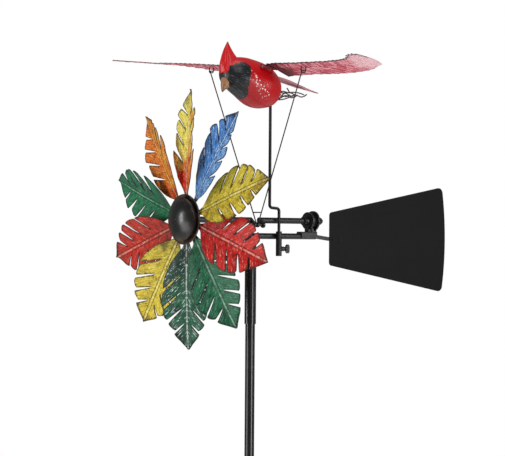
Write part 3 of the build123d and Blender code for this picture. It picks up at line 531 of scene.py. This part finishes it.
def eye_gloss(name):
    """Black bead with a faint brown depth."""
    f = Finish(name, coat_weight=0.8, coat_roughness=0.05)
    depth = f.noise(700.0, 3.0)
    tone = f.mix(depth, (8, 7, 7), (34, 22, 16))
    return f.finish(tone, f.spread(depth, 0.08, 0.16), depth, depth=0.00005, strength=0.2)


def floor_finish(name):
    """Pale paper that glows faintly, so that it stays light far from the lamps."""
    f = Finish(name, emission_color=(1.0, 1.0, 1.0, 1.0), emission_strength=0.28)
    clouds = f.noise(1.5, 4.0)
    tone = f.mix(clouds, (236, 236, 234), (243, 243, 241))
    return f.finish(tone, f.spread(clouds, 0.65, 0.8))


# ---- propeller leaves --------------------------------------------------------------------
LEAF_COUNT = 10
LEAF_PITCH = math.radians(18)
LEAF_FOLD = math.radians(10)      # each half leans this far towards the front
LEAF_TIP = 210.0
STRAP_START = 18.0
STRAP_HALF = 5.0
VEIN_SLOPE = 0.85                 # how far a side vein runs outward for each mm across
CUT_WIDTH = 5.8
LOBE_STARTS = (37.0, 79.0, 108.0, 136.0, 163.0)
CUT_COLUMN = 5
COLUMNS = (0, 0.03, 0.07, 0.12, 0.18, 0.24, 0.31, 0.4, 0.5, 0.6, 0.7, 0.79, 0.87, 0.93, 0.97, 1)
LOBE_ROWS = (0, 0.04, 0.1, 0.18, 0.28, 0.39, 0.5, 0.61, 0.72, 0.82, 0.9, 0.96, 1)
LAST_LOBE = len(LOBE_STARTS) - 1
ACROSS_VEIN = 0.76                # distance across the veins for each mm along the midrib
RIB_HEIGHT = 1.1
VEIN_HEIGHT = 0.55
TIP_DROOP = 6.5                   # how far the leaf leans back towards its tip
leaf_half_width = smooth_curve((
    (STRAP_START, STRAP_HALF), (38, STRAP_HALF), (45, 8), (62, 23), (92, 39), (126, 45), (150, 43),
    (168, 35), (184, 23), (198, 10.5), (LEAF_TIP, 0.3),
))


def vein_reach(start):
    """How far across a vein that leaves the midrib at start gets before it meets the margin."""
    low, high = 0.0, 60.0
    for _ in range(40):
        half = (low + high) / 2
        if leaf_half_width(start + VEIN_SLOPE * half) > half:
            low = half
        else:
            high = half
    return max(low, 0.35)


def leaf_rows():
    """(start along the midrib, lobe, place in the lobe) of each line of points across the leaf."""
    rows = [(STRAP_START + 4.75 * i, -1, i / 4) for i in range(4)]
    ends = LOBE_STARTS[1:] + (LEAF_TIP - 0.5,)
    for lobe, (start, end) in enumerate(zip(LOBE_STARTS, ends)):
        rows.extend((start + (end - start) * t, lobe, t) for t in LOBE_ROWS)
    return rows


def leaf(number, material, slot):
    """A flat-sheet leaf with four cuts on each side, folded forward along its midrib."""
    name = f"leaf_{number + 1:02d}"
    chance = random.Random(40 + number)
    turn = 2 * math.pi * number / LEAF_COUNT
    outward = Vector((math.sin(turn), 0, math.cos(turn)))
    across = Vector((math.cos(turn), 0, -math.sin(turn))) * math.cos(LEAF_PITCH)
    across.y = -math.sin(LEAF_PITCH)
    front = across.cross(outward)
    low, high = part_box("leaf_01")
    origin = Vector((0, ((low + high) / 2).y / MM, SHAFT_MM))
    lobes = [(side, lobe) for side in (-1, 1) for lobe in range(-1, LAST_LOBE + 1)]
    curls = {key: chance.uniform(-2.5, 3.0) for key in lobes}
    twists = {key: chance.uniform(-2.2, 2.2) for key in lobes}
    rows = leaf_rows()
    points = []
    marks = []
    index = {}

    def point(row, column, side):
        start, lobe, t = rows[row]
        if t == 0 and lobe > 0 and column <= CUT_COLUMN:
            return point(row - 1, column, side)
        key = (row, column, side if column else 0)
        if key in index:
            return index[key]
        share = COLUMNS[column]
        near = 1 - t if lobe > 0 else 0.0               # 1 at the cut towards the root
        far = t if 0 <= lobe < LAST_LOBE else 0.0       # 1 at the cut towards the tip
        corner = max(near, far) ** 9 * (0.9 if lobe == 0 else 1)
        reach = vein_reach(start) * (1 - 0.045 * corner)
        q = share * reach
        cut = max(0.0, (share - COLUMNS[CUT_COLUMN]) / (1 - COLUMNS[CUT_COLUMN])) ** 0.7
        out = start + VEIN_SLOPE * q + (near - far) * CUT_WIDTH / 2 * cut
        out = min(out, LEAF_TIP - 0.2)
        vein = math.exp(-(((t - 0.5) / 0.10) ** 2)) * math.sin(math.pi * min(share * 1.1, 1))
        loose = max(0.0, share - 0.35)
        height = math.tan(LEAF_FOLD) * q + RIB_HEIGHT * math.exp(-((q / 1.7) ** 2))
        if lobe >= 0:
            height += VEIN_HEIGHT * vein + curls[side, lobe] * loose ** 2 * 2.2
            height += twists[side, lobe] * loose * (t - 0.5) * 1.6
            spot = Vector((side * q, out, number * 50.0))
            height += 0.8 * noise.noise(spot / 14) + 0.35 * noise.noise(spot / 5)
        height -= TIP_DROOP * max(0.0, (out - 60) / 150) ** 2
        points.append(origin + outward * out + across * (side * q) + front * height)
        rim = (1 - share) * reach
        if share > COLUMNS[CUT_COLUMN] and lobe >= 0:
            span = (LOBE_STARTS[1:] + (LEAF_TIP,))[lobe] - LOBE_STARTS[lobe]
            if lobe > 0:
                rim = min(rim, t * span * ACROSS_VEIN)
            if lobe < LAST_LOBE:
                rim = min(rim, (1 - t) * span * ACROSS_VEIN)
        marks.append((out / LEAF_TIP, side * share, rim, q, start))
        index[key] = len(points) - 1
        return index[key]

    faces = []
    for row in range(len(rows) - 1):
        if rows[row][2] == 1:
            continue
        for side in (-1, 1):
            for column in range(len(COLUMNS) - 1):
                steps = ((0, 0), (0, 1), (1, 1), (1, 0))
                corners = tuple(point(row + i, column + j, side) for i, j in steps)
                faces.append(corners if side > 0 else tuple(reversed(corners)))
    facts = facts_of("along across rim reach vein", marks)
    piece = add_piece(name + "_sheet", points, faces, "propeller", slot, material, facts)
    thicken(piece, SHEET)
    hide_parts(name)


LEAF_PALETTES = (
    # slot, root, blade, tip, other half,
    # streak, streak amount, border, where the root colour ends
    ("yellow_leaf", (206, 34, 24), (232, 216, 96), (160, 148, 84), (226, 134, 50),
     (250, 244, 196), 0.7, (66, 50, 28), 0.36),
    ("blue_leaf", (92, 144, 200), (66, 124, 192), (30, 44, 78), (126, 178, 224),
     (214, 232, 246), 0.8, (20, 30, 50), 0.2),
    ("yellow_leaf", (190, 168, 36), (204, 182, 44), (128, 102, 38), (168, 140, 34),
     (240, 232, 170), 0.7, (58, 48, 22), 0.2),
    ("red_leaf", (176, 22, 18), (206, 32, 26), (172, 56, 42), (188, 26, 22),
     (238, 184, 166), 0.6, (48, 28, 22), 0.25),
    ("green_leaf", (30, 104, 66), (32, 110, 74), (20, 60, 46), (22, 84, 56),
     (160, 200, 178), 0.45, (16, 28, 22), 0.25),
    ("green_leaf", (28, 62, 46), (24, 94, 64), (20, 60, 46), (20, 50, 42),
     (222, 236, 230), 1.0, (14, 24, 20), 0.35),
    ("yellow_leaf", (140, 122, 40), (212, 190, 56), (116, 86, 40), (192, 168, 46),
     (246, 236, 154), 0.55, (48, 40, 22), 0.18),
    ("red_leaf", (164, 38, 26), (186, 40, 28), (136, 62, 44), (172, 44, 30),
     (232, 168, 146), 0.45, (48, 32, 24), 0.25),
    ("green_leaf", (26, 108, 68), (34, 114, 76), (42, 58, 52), (40, 84, 66),
     (150, 188, 160), 0.4, (26, 36, 30), 0.25),
    ("orange_leaf", (196, 54, 26), (216, 112, 40), (134, 86, 54), (220, 156, 52),
     (248, 216, 112), 0.65, (52, 40, 28), 0.2),
)


def leaves():
    for number, (slot, *colours) in enumerate(LEAF_PALETTES):
        leaf(number, leaf_paint(f"leaf_paint_{number + 1:02d}", *colours), slot)


# ---- hub covers --------------------------------------------------------------------------
DOME_LIP = 1.2
DOME_WALL = 1.4
DISH_SHEET = 2.0
DISH_RIM = 10.0               # the dish turns forward this far inside its edge
DISH_EDGE = 0.9               # radius of the rolled edge


def round_size(node):
    """Front, back and radius of a round node on the shaft, in mm."""
    low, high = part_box(node)
    return low.y / MM, high.y / MM, (high.x - low.x) / 2 / MM


def hub_covers():
    apex, back, radius = round_size("hub_dome")
    rise = back - DOME_LIP - apex
    ball = (radius ** 2 + rise ** 2) / (2 * rise)
    spread = math.asin(radius / ball)

    def bowl(size, top, share):
        swings = [spread * (0.02 + share * i / 24) for i in range(25)]
        return [(size * math.sin(swing), top + size * (1 - math.cos(swing))) for swing in swings]

    profile = bowl(ball, apex, 0.98)
    for i in range(1, 6):
        turn = math.pi / 2 * i / 5
        step_in = radius - 0.9 * (1 - math.cos(turn))
        profile.append((step_in, back - DOME_LIP + DOME_LIP * math.sin(turn)))
    profile += reversed(bowl(ball - DOME_WALL, apex + DOME_WALL, 0.93))
    steps = 112
    points, faces = lathe(profile, steps)
    faces.append(tuple(range(steps)))
    faces.append(tuple(reversed(range(len(points) - steps, len(points)))))
    facts = {"reach": [math.hypot(p[0], p[2] - SHAFT_MM) / radius for p in points]}
    paint = dome_lacquer("dome_lacquer")
    dome = add_piece("hub_dome_spun", points, faces, "propeller", "black_paint", paint, facts)
    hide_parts("hub_dome")

    front, back, radius = round_size("hub_dish")
    inner = round_size("hub_core")[2] + 0.15
    depth = back - DISH_SHEET - front - DISH_EDGE
    rim = radius - DISH_RIM

    def flare(start):
        return [(rim + 9.1 * (i / 8), back - start - depth * (i / 8) ** 1.7) for i in range(1, 9)]

    profile = [(inner, back - DISH_SHEET), (rim, back - DISH_SHEET)] + flare(DISH_SHEET)
    for i in range(7):
        turn = math.pi * i / 6
        out = radius - DISH_EDGE + DISH_EDGE * math.sin(turn)
        profile.append((out, front + DISH_EDGE - DISH_EDGE * math.cos(turn)))
    profile += reversed(flare(0.2))
    profile += [(rim, back), (inner, back), (inner, back - DISH_SHEET)]
    points, faces = lathe(profile, 96)
    paint = bronzed_black("dish_lacquer")
    dish = add_piece("hub_dish_spun", points, faces, "propeller", "black_paint", paint)
    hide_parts("hub_dish")


# ---- bird --------------------------------------------------------------------------------
# along the bird: y, centre height above the shaft, half width, half height
BODY = (
    (-60, 239.5, 6.5, 7.5),
    (-55, 240, 16, 16),
    (-45, 239, 24, 24),
    (-25, 234.5, 32, 32),
    (-1, 226, 36, 37.5),
    (22, 222, 33.5, 35),
    (41, 219, 24.5, 25.5),
    (54.5, 218, 8.5, 9.5),
)
body_height = smooth_curve([(y, z) for y, z, a, b in BODY])
body_half_width = smooth_curve([(y, a) for y, z, a, b in BODY])
body_half_height = smooth_curve([(y, b) for y, z, a, b in BODY])
SHELL = 1.5                   # thickness of the pressed halves
BIB_BACK = -28.0              # where the black bib ends, in y
BIB_TOP = 257.0               # and in height above the shaft
BIB_ROUND = 16.0
FLANK_START = Vector((-28, 238))  # (y, height) where the line of white flecks starts
FLANK_END = Vector((5, 205))
FLANK_REACH = 9.0             # how far the white flecks spread from that line
SEAM = 0.12                   # half the gap between the two shells
SCALE_ROWS = 17               # embossed scales along the body
SCALES_ROUND = 9              # and for each radian round it
SKIN = 0.3                    # the shell's mesh lies this far inside the outline
SCALE_DEPTH = 0.22
CREST_FOOT = 240
CREST_HEIGHT = 51.5
CREST_SHOWS = 250             # below this height the crest is inside the head


def flank_share(y, z):
    """1 on the diagonal line of white flecks and 0 beyond its reach."""
    run = FLANK_END - FLANK_START
    t = min(1.0, max(0.0, (Vector((y, z)) - FLANK_START).dot(run) / run.length_squared))
    return max(0.0, 1 - (Vector((y, z)) - FLANK_START - run * t).length / FLANK_REACH)


def body_half(label, side):
    """One pressed half of the bird's body, with shallow feather scales on the breast and back."""
    rings, steps = 58, 40
    points = []
    marks = []
    first, last = BODY[0][0], BODY[-1][0]
    for i in range(rings + 1):
        t = i / rings
        y = first + (last - first) * (t + 0.5 * math.sin(2 * math.pi * t) / -math.pi * 0.55)
        ease = min(1.0, (y - first) / 3.0, (last - y) / 3.0)
        close = 0.25 + 0.75 * math.sqrt(max(0.0, 1 - (1 - ease) ** 2))
        for j in range(steps + 1):
            turn = math.pi * j / steps
            row = t * SCALE_ROWS
            cell = turn * SCALES_ROUND + (math.floor(row) % 2) * 0.5
            dip = abs((cell % 1) - 0.5) + (row % 1)
            emboss = -SCALE_DEPTH * max(0.0, 1 - abs(dip - 0.9) * 5)
            wide = (body_half_width(y) - SKIN) * close + emboss
            tall = (body_half_height(y) - SKIN) * close + emboss
            z = body_height(y) + tall * math.cos(turn)
            points.append((side * (SEAM + wide * math.sin(turn)), y, SHAFT_MM + z))
            inside_back = BIB_BACK - y + 0.10 * (z - 230) + 0.5 * max(0.0, 222 - z)
            inside_top = BIB_TOP - z + 0.35 * (y + 38)
            short = (max(0.0, BIB_ROUND - inside) for inside in (inside_back, inside_top))
            flank = flank_share(y, z) if 0.15 < turn / math.pi < 0.9 else 0
            under = (1 - math.cos(turn)) / 2
            marks.append((BIB_ROUND - math.hypot(*short), under, flank, y, turn / math.pi))
    faces = grid_faces(rings + 1, steps + 1)
    centre = len(points)
    for end, mark in ((BODY[0], marks[0]), (BODY[-1], marks[-1])):
        points.append((side * SEAM, end[0], SHAFT_MM + end[1]))
        marks.append(mark)
    for j in range(steps):
        k = rings * (steps + 1) + j
        faces += [(centre, j + 1, j), (centre + 1, k, k + 1)]
    if side < 0:
        faces = [tuple(reversed(face)) for face in faces]
    name = f"body_shell_{label}"
    facts = facts_of("bib under flank back round", marks)
    piece = add_piece(name + "_pressed", points, faces, "head", "cardinal_red", BIRD_PAINT, facts)
    thicken(piece, SHELL, offset=1.0)
    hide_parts(name)


def crest():
    """Swept cone of feathers: straight in front, hollow behind, ribbed up to its point."""
    levels, steps = 26, 64
    points = []
    marks = []
    front = smooth_curve(((240, -63), (252, -64.5), (266, -62.5), (280, -58), (291.5, -52.4)))
    back = smooth_curve(
        ((240, -18), (252, -22.5), (262, -31), (273, -40), (283, -46.5), (291.5, -50.8))
    )
    wide = smooth_curve(((240, 19.5), (252, 16), (262, 12), (273, 7.8), (283, 3.8), (291.5, 0.7)))
    for i in range(levels + 1):
        z = CREST_FOOT + CREST_HEIGHT * i / levels
        y0, y1, half = front(z), back(z), wide(z)
        fade = min(1, (levels - i) / 6)
        shown = max(0.0, (z - CREST_SHOWS) / (CREST_FOOT + CREST_HEIGHT - CREST_SHOWS))
        for turn in turns(steps):
            rib = 1 + 0.035 * math.cos(turn * 16 + 1.5 * math.sin(i * 0.35)) * fade
            y = (y0 + y1) / 2 - (y1 - y0) / 2 * rib * math.cos(turn)
            points.append((half * rib * math.sin(turn), y, SHAFT_MM + z))
            marks.append((shown, math.cos(turn) + math.sin(turn) * 0.7))
    faces = capped(levels + 1, steps)
    facts = facts_of("rise around", marks)
    paint = crest_paint("crest_paint")
    piece = add_piece("crest_swept", points, faces, "head", "cardinal_red", paint, facts)
    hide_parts("crest")


def beak():
    """Two mandibles: a hooked upper one over a shorter lower one."""
    levels, steps = 18, 28
    shape = []
    marks = []
    flat = Vector((1, 0, 0))
    for root, tip, wide, tall, hook in (
        (Vector((0, -49, 233.5)), Vector((0, -62.0, 208.5)), 12.2, 11.0, 3.2),
        (Vector((0, -45, 228)), Vector((0, -57, 212.5)), 9.0, 7.0, 0.8),
    ):
        points = []
        high = flat.cross((tip - root).normalized())
        for i in range(levels + 1):
            t = i / levels
            centre = root + (tip - root) * t - high * hook * math.sin(math.pi * t) * 0.5
            size = (1 - t) ** 0.72 * 0.97 + 0.03
            for turn in turns(steps):
                beside = flat * (wide * size * math.cos(turn))
                p = centre + beside + high * (tall * size * math.sin(turn))
                points.append((p.x, p.y, p.z + SHAFT_MM))
                marks.append((t, math.cos(turn) * 2))
        shape.append((points, capped(levels + 1, steps)))
    points, faces = join_parts(shape)
    facts = facts_of("rise around", marks)
    piece = add_piece("beak_pair", points, faces, "head", "beak_tan", horn("beak_horn"), facts)
    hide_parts("beak")


def eyes():
    """A glossy bead set into each side of the face."""
    rows, steps, radius = 10, 24, 2.3
    y, z = -48.0, 247.5
    tall = body_half_height(y)
    level = math.sqrt(max(0.0, 1 - ((z - body_height(y)) / tall) ** 2))
    wide = body_half_width(y) * level
    parts = []
    for side in (-1, 1):
        outward = Vector((side * 0.86, -0.42, 0.28)).normalized()
        flat = outward.orthogonal().normalized()
        high = outward.cross(flat)
        centre = Vector((side * (wide - 0.6), y, z + SHAFT_MM))
        points = []
        for i in range(rows + 1):
            lean = math.pi / 2 * i / rows * 1.1 + 0.02
            ahead = outward * (radius * 0.7 * math.cos(lean))
            for turn in turns(steps):
                swing = flat * math.cos(turn) + high * math.sin(turn)
                points.append(centre + ahead + swing * (radius * math.sin(lean)))
        parts.append((points, capped(rows + 1, steps)))
    points, faces = join_parts(parts)
    add_piece("eye_beads", points, faces, "head", "black_paint", eye_gloss("eye_gloss"))


TAIL_ROOT = Vector((0, 50, 238))
TAIL_DROP = math.radians(14)
TAIL_FEATHERS = 9
TAIL_START = -9.0
TAIL_LENGTH = 96.5
FEATHER_SHEET = 0.8
tail_spread = smooth_curve(((TAIL_START, 4.5), (8, 11), (50, 8.5), (TAIL_LENGTH, 1.5)))


def tail():
    """A kite of long feathers that close towards a point, the middle ones longest, each with a
    raised shaft and lapped like roof tiles."""
    back = Vector((0, math.cos(TAIL_DROP), -math.sin(TAIL_DROP)))
    up = Vector((0, math.sin(TAIL_DROP), math.cos(TAIL_DROP)))
    parts = []
    marks = []
    rows, columns = 34, 9
    for n in range(TAIL_FEATHERS):
        share = n / (TAIL_FEATHERS - 1) * 2 - 1
        length = TAIL_LENGTH - TAIL_START - 36 * abs(share) ** 1.3
        level = 1.5 * (1 - abs(share)) - 0.4
        points = []
        for i in range(rows + 1):
            t = i / rows
            out = TAIL_START + length * t
            half = 2.3 * (0.6 + 0.4 * math.sin(math.pi * min(1, t * 1.1) * 0.5))
            half *= math.sqrt(max(0.0, 1 - max(0.0, (t - 0.90) / 0.105) ** 2)) + 0.02
            for j in range(columns):
                s = j / (columns - 1) * 2 - 1
                crown = 0.7 * (1 - s * s) + 0.4 * math.exp(-((s / 0.12) ** 2))
                place = TAIL_ROOT + back * out + up * (level + crown + 0.4)
                place.x += half * s + share * tail_spread(out)
                points.append((place.x, place.y, place.z + SHAFT_MM))
                marks.append((t, s))
        parts.append((points, grid_faces(rows + 1, columns)))
    points, faces = join_parts(parts)
    facts = facts_of("along side", marks)
    paint = tail_paint("tail_paint")
    piece = add_piece("tail_fan", points, faces, "head", "cardinal_red", paint, facts)
    thicken(piece, FEATHER_SHEET)
    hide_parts("tail_feathers")


FOOT_WIRE = 1.1               # radius
FOOT_PATHS = (
    ((9, 38, 200), (10, 46, 200.5), (11, 56, 201.5), (12, 73, 206.5), (12, 83, 210.5),
     (12.4, 90, 209), (12.6, 97, 207.5), (12.4, 104, 209.5), (12, 109.5, 213)),
    ((10, 50, 200.7), (9.4, 56, 207.5), (9.2, 64, 212.4), (8.6, 75, 209), (8.2, 82, 208.6),
     (7.6, 88, 212.5)),
    ((8.4, 44, 212), (7.6, 52, 214), (7, 62, 215.6), (6.6, 72, 214), (6.2, 84, 215.2),
     (8.6, 95, 214.3), (11.6, 104, 211.5)),
    ((11.6, 66, 221), (10.6, 70, 217.4), (9, 74, 213.5)),
)


def feet():
    """Bent wires that leave the belly, trail under the tail and turn back as toes."""
    parts = []
    for side in (-1, 1):
        for path in FOOT_PATHS:
            lifted = [(side * x, y, z + SHAFT_MM) for x, y, z in path]
            parts.append(tube(spline_path(lifted, 40), FOOT_WIRE))
    points, faces = join_parts(parts)
    piece = add_piece("feet_wires", points, faces, "head", "black_paint", wire_paint("foot_wire"))
    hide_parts("feet")


# ---- wings -------------------------------------------------------------------------------
HINGE = joints["wing_right_flap"]["pos_m"]
HINGE_X = HINGE[0] / MM
HINGE_Z = HINGE[2] / MM
WING_RISE = {-1: math.radians(5.6), 1: math.radians(-3.0)}
WING_LENGTH = 292.0
TIP_Y = -36.0
PITCH_Y = 12.0                # the sheet crosses the height of the hinge axis at this y
ROOT_CUT = 6.0
KNUCKLE = (-2.0, 28.0)        # from and to, in y
KNUCKLE_R = 3.5
PIN_R = 1.6
WING_SHEET = 1.0
FEATHER_PITCH = 22.0
FINGERS_START = 226.0
FINGER_PITCH = 13.0
FAN_START = 262.0             # the trailing edge turns forward from here
FRONT_END = 284.0             # and the leading edge back from here
leading_line = smooth_curve(
    ((0, 2), (40, -2), (110, -7), (180, -14), (230, -28), (262, -50), (284, -58))
)
trailing_line = smooth_curve(((0, 44), (100, 49), (180, 43), (236, 27), (FAN_START, 11)))


def wing_fall(side, d):
    """How much the sheet drops for each mm backward: steep at the root, flatter outward."""
    if side > 0:
        return 0.28 - 0.10 * (d / WING_LENGTH) ** 2 + 0.13 * max(0.0, 1 - d / 70)
    return 0.30 * max(0.0, 1 - d / 210) ** 0.8


def closing(start, share_at):
    """How much of the width is left between start and the tip, as a quarter ellipse."""
    t = min(1.0, max(0.0, (share_at - start) / (WING_LENGTH - start)))
    return math.sqrt(1 - t * t)


def wing_edges(d):
    """y of the leading and trailing edge, with fingered feather ends near the tip."""
    lead = TIP_Y + (leading_line(d) - TIP_Y) * closing(FRONT_END, d)
    trail = TIP_Y + (trailing_line(d) - TIP_Y) * closing(FAN_START, d)
    p = (d / FEATHER_PITCH) % 1
    scallop = math.sqrt(max(0.0, 1 - (2 * p - 1) ** 2)) - 0.4
    trail += 4.5 * scallop * min(1.0, (WING_LENGTH - d) / 30)
    if d > FINGERS_START:
        q = ((d - FINGERS_START) / FINGER_PITCH) % 1
        depth = 7.0 * min(1.0, (d - FINGERS_START) / 14, (WING_LENGTH - d) / 12)
        lead -= depth * (q ** 1.3 - 0.5)
    else:
        lead += 0.5 * math.sin(d / 6.0)
    return lead, trail


def wing_height(d, y, lead, trail):
    """Relief of the sheet and which feather a point is on: lapped rows of long feathers behind,
    scales in front."""
    v = (y - lead) / max(trail - lead, 1e-3)
    sweep = 0.9 + 1.3 * (d / WING_LENGTH) ** 2
    p = (d - sweep * (y - trail)) / FEATHER_PITCH
    step = p % 1
    relief = min(1.0, step * 6) * (1 - 0.55 * step) + 0.35 * math.exp(-(((step - 0.5) / 0.09) ** 2))
    if v < 0.38 and d < FINGERS_START:
        row = v / 0.19
        cell = d / 12.0 + (math.floor(row) % 2) * 0.5
        round_off = math.hypot((cell % 1) - 0.5, 0.8 * ((row % 1) - 0.1))
        relief = max(0.0, 1 - 1.1 * round_off)
        p = cell
    return 1.6 * relief, p, relief


def wing(label, side):
    """An embossed sheet wing with a rolled hinge knuckle."""
    name = f"wing_{label}"
    columns = 26
    end_zone = 18.0
    inner = int((WING_LENGTH - end_zone - ROOT_CUT) / 1.7)
    stations = list(np.linspace(ROOT_CUT, WING_LENGTH - end_zone, inner))
    stations += [WING_LENGTH - end_zone * (1 - i / 20) ** 1.8 for i in range(1, 20)]
    stations.append(WING_LENGTH - 0.05)
    points = []
    marks = []
    rise = WING_RISE[side]

    def place(d, y, h):
        out = d * math.cos(rise) - h * math.sin(rise)
        up = d * math.sin(rise) + h * math.cos(rise) - wing_fall(side, d) * (y - PITCH_Y)
        return side * (HINGE_X + out), y, HINGE_Z + up

    for d in stations:
        lead, trail = wing_edges(d)
        fade = min(1.0, (d - ROOT_CUT) / 8)
        for j in range(columns + 1):
            y = lead + (trail - lead) * (j / columns)
            height, feather, relief = wing_height(d, y, lead, trail)
            points.append(place(d, y, height * (0.2 + 0.8 * fade) - 0.6))
            marks.append((feather, d / WING_LENGTH, relief, y - lead))
    faces = grid_faces(len(stations), columns + 1)
    if side < 0:
        faces = [tuple(reversed(face)) for face in faces]
    names = "feather along relief inward"
    look = (name + "_body", "cardinal_red", WING_PAINT)
    piece = add_piece(name + "_feathered", points, faces, *look, facts_of(names, marks))
    thicken(piece, WING_SHEET, even=False)
    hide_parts(name)

    start, end = KNUCKLE
    sides = 28
    barrel = []
    for radius, y in (
        (PIN_R, start), (KNUCKLE_R - 0.3, start), (KNUCKLE_R, start + 0.3),
        (KNUCKLE_R, end - 0.3), (KNUCKLE_R - 0.3, end), (PIN_R, end), (PIN_R, start),
    ):
        for turn in turns(sides):
            x = side * HINGE_X + radius * math.sin(turn)
            barrel.append((x, y, HINGE_Z + radius * math.cos(turn)))
    tab = []
    for d in (KNUCKLE_R - 0.6, 5.0, 8.5, 11.0):
        for y in np.linspace(PITCH_Y - 11, PITCH_Y + 11, 9):
            for h in (0.55, -0.75):
                tab.append(place(d, float(y), h - (0.1 if d > 8 else 0)))
    tab_faces = []
    for i in range(3):
        for j in range(8):
            a = (i * 9 + j) * 2
            b, c, e = a + 2, a + 18, a + 20
            tab_faces += [(a, b, e, c), (a + 1, c + 1, e + 1, b + 1)]
    for i in range(3):
        for a in (i * 18, i * 18 + 16):
            tab_faces.append((a, a + 1, a + 19, a + 18))
    for j in range(8):
        for a in (j * 2, 54 + j * 2):
            tab_faces.append((a, a + 2, a + 3, a + 1))
    points, faces = join_parts(((barrel, grid_faces(7, sides, wrap=True)), (tab, tab_faces)))
    facts = facts_of(names, [(0.3, 0.02, 0.6, 9.0)] * len(points))
    knuckle = add_piece(name + "_knuckle", points, faces, *look, facts)
    bevel = knuckle.modifiers.new("edge", "BEVEL")
    bevel.width = 0.15 * MM
    bevel.limit_method = "ANGLE"


# ---- finishes of the CAD nodes -----------------------------------------------------------
def dress_cad():
    """Every CAD node gets its paint, satin black unless it is named here."""
    gloss = black_paint("black_gloss", 0.16, 0.1)
    satin = black_paint("black_satin", 0.36, 0.45)
    steel = bare_steel("zinc_steel")
    vane = satin_vane("vane_coat")
    kinds = {
        "tail_vane": vane,
        "pole_upper": gloss,
        "pole_lower": gloss,
        "yaw_sleeve": gloss,
        "hub_nut": steel,
        "leaf_rivets": steel,
        "hinge_pins": steel,
        "vane_fasteners": vane,
        "wing_lugs": BIRD_PAINT,
    }
    for name, node in nodes.items():
        node.data.materials.clear()
        node.data.materials.append(kinds.get(name, satin))


# ---- studio ------------------------------------------------------------------------------
VIEW_AZIMUTH = math.radians(51)
VIEW_DISTANCE = 3.38
EYE_Z = SHAFT_Z - 0.0276
LOOK_UP = 0.01485
LOOK_RIGHT = 0.0028
ROLL = 0.007
LENS = 146.0
WORLD_LIGHT = 0.24            # strength of the white surroundings on the object
WORLD_SEEN = 1.0              # and behind it
FLOOR_RADIUS = 2900
LIGHTS = (
    # name, azimuth, elevation, distance, width, height, power, metres below the shaft
    ("key", -23, 4, 1.7, 0.20, 0.70, 10, 0.0),
    ("front", 62, 30, 3.4, 1.4, 1.4, 20, 0.0),
    ("right", 128, 10, 2.4, 0.25, 1.8, 14, 0.0),
    ("above", 30, 78, 2.4, 2.0, 2.0, 28, 0.0),
    ("pole_left", -13, 0, 1.7, 0.9, 0.8, 9, 0.60),
    ("pole_right", 99, 0, 2.2, 0.7, 1.0, 16, 0.60),
)


def around(azimuth, distance, z):
    return Vector((math.sin(azimuth) * distance, -math.cos(azimuth) * distance, z))


def aim(made, place, target, roll=0.0):
    facing = (target - place).to_track_quat("-Z", "Y").to_matrix().to_4x4()
    made.matrix_world = Matrix.Translation(place) @ facing @ Matrix.Rotation(roll, 4, "Z")


def camera():
    data = bpy.data.cameras.new("camera")
    data.sensor_width = 36.0
    data.lens = LENS
    data.clip_end = 50.0
    eye = new_object("camera", data)
    right = Vector((math.cos(VIEW_AZIMUTH), math.sin(VIEW_AZIMUTH), 0))
    target = Vector((0, 0, EYE_Z + LOOK_UP)) + right * LOOK_RIGHT
    aim(eye, around(VIEW_AZIMUTH, VIEW_DISTANCE, EYE_Z), target, ROLL)
    scene.camera = eye


def softbox(name, azimuth, elevation, distance, width, height, power, drop):
    data = bpy.data.lights.new(name, "AREA")
    data.shape = "RECTANGLE"
    data.size = width
    data.size_y = height
    data.energy = power
    lamp = new_object(name, data)
    tilt = math.radians(elevation)
    centre = SHAFT_Z - drop
    high = centre + distance * math.sin(tilt)
    place = around(math.radians(azimuth), distance * math.cos(tilt), high)
    aim(lamp, place, Vector((0, 0, centre)))
    lamp.visible_camera = False


def studio():
    world = bpy.data.worlds.new("studio")
    scene.world = world
    world.use_nodes = True
    tree = world.node_tree
    tree.nodes.clear()
    mixed = tree.nodes.new("ShaderNodeMixShader")
    for socket, strength in ((1, WORLD_LIGHT), (2, WORLD_SEEN)):
        background = tree.nodes.new("ShaderNodeBackground")
        background.inputs["Color"].default_value = (1, 1, 1, 1)
        background.inputs["Strength"].default_value = strength
        tree.links.new(background.outputs[0], mixed.inputs[socket])
    path = tree.nodes.new("ShaderNodeLightPath")
    out = tree.nodes.new("ShaderNodeOutputWorld")
    tree.links.new(path.outputs["Is Camera Ray"], mixed.inputs[0])
    tree.links.new(mixed.outputs[0], out.inputs["Surface"])
    for light in LIGHTS:
        softbox(*light)
    scene.view_settings.view_transform = "Standard"


def floor():
    """A pale disc just under the tips of the ground fork."""
    z = cad_box[0].z / MM - 1
    steps, rings = 96, 12
    points = [(0, 0, z)]
    for i in range(1, rings + 1):
        radius = FLOOR_RADIUS * i / rings
        for turn in turns(steps):
            points.append((radius * math.cos(turn), radius * math.sin(turn), z))
    faces = [(0, 1 + j, 1 + (j + 1) % steps) for j in range(steps)]
    for face in grid_faces(rings, steps, wrap=True):
        faces.append(tuple(1 + i for i in reversed(face)))
    mesh = new_mesh("floor", points, faces)
    mesh.materials.append(floor_finish("pale_floor"))
    disc = new_object("floor", mesh)


BIRD_PAINT = bird_paint("cardinal_enamel")
WING_PAINT = wing_paint("wing_wash")
dress_cad()
leaves()
hub_covers()
body_half("left", -1)
body_half("right", 1)
crest()
beak()
eyes()
tail()
feet()
wing("left", -1)
wing("right", 1)
camera()
studio()
floor()
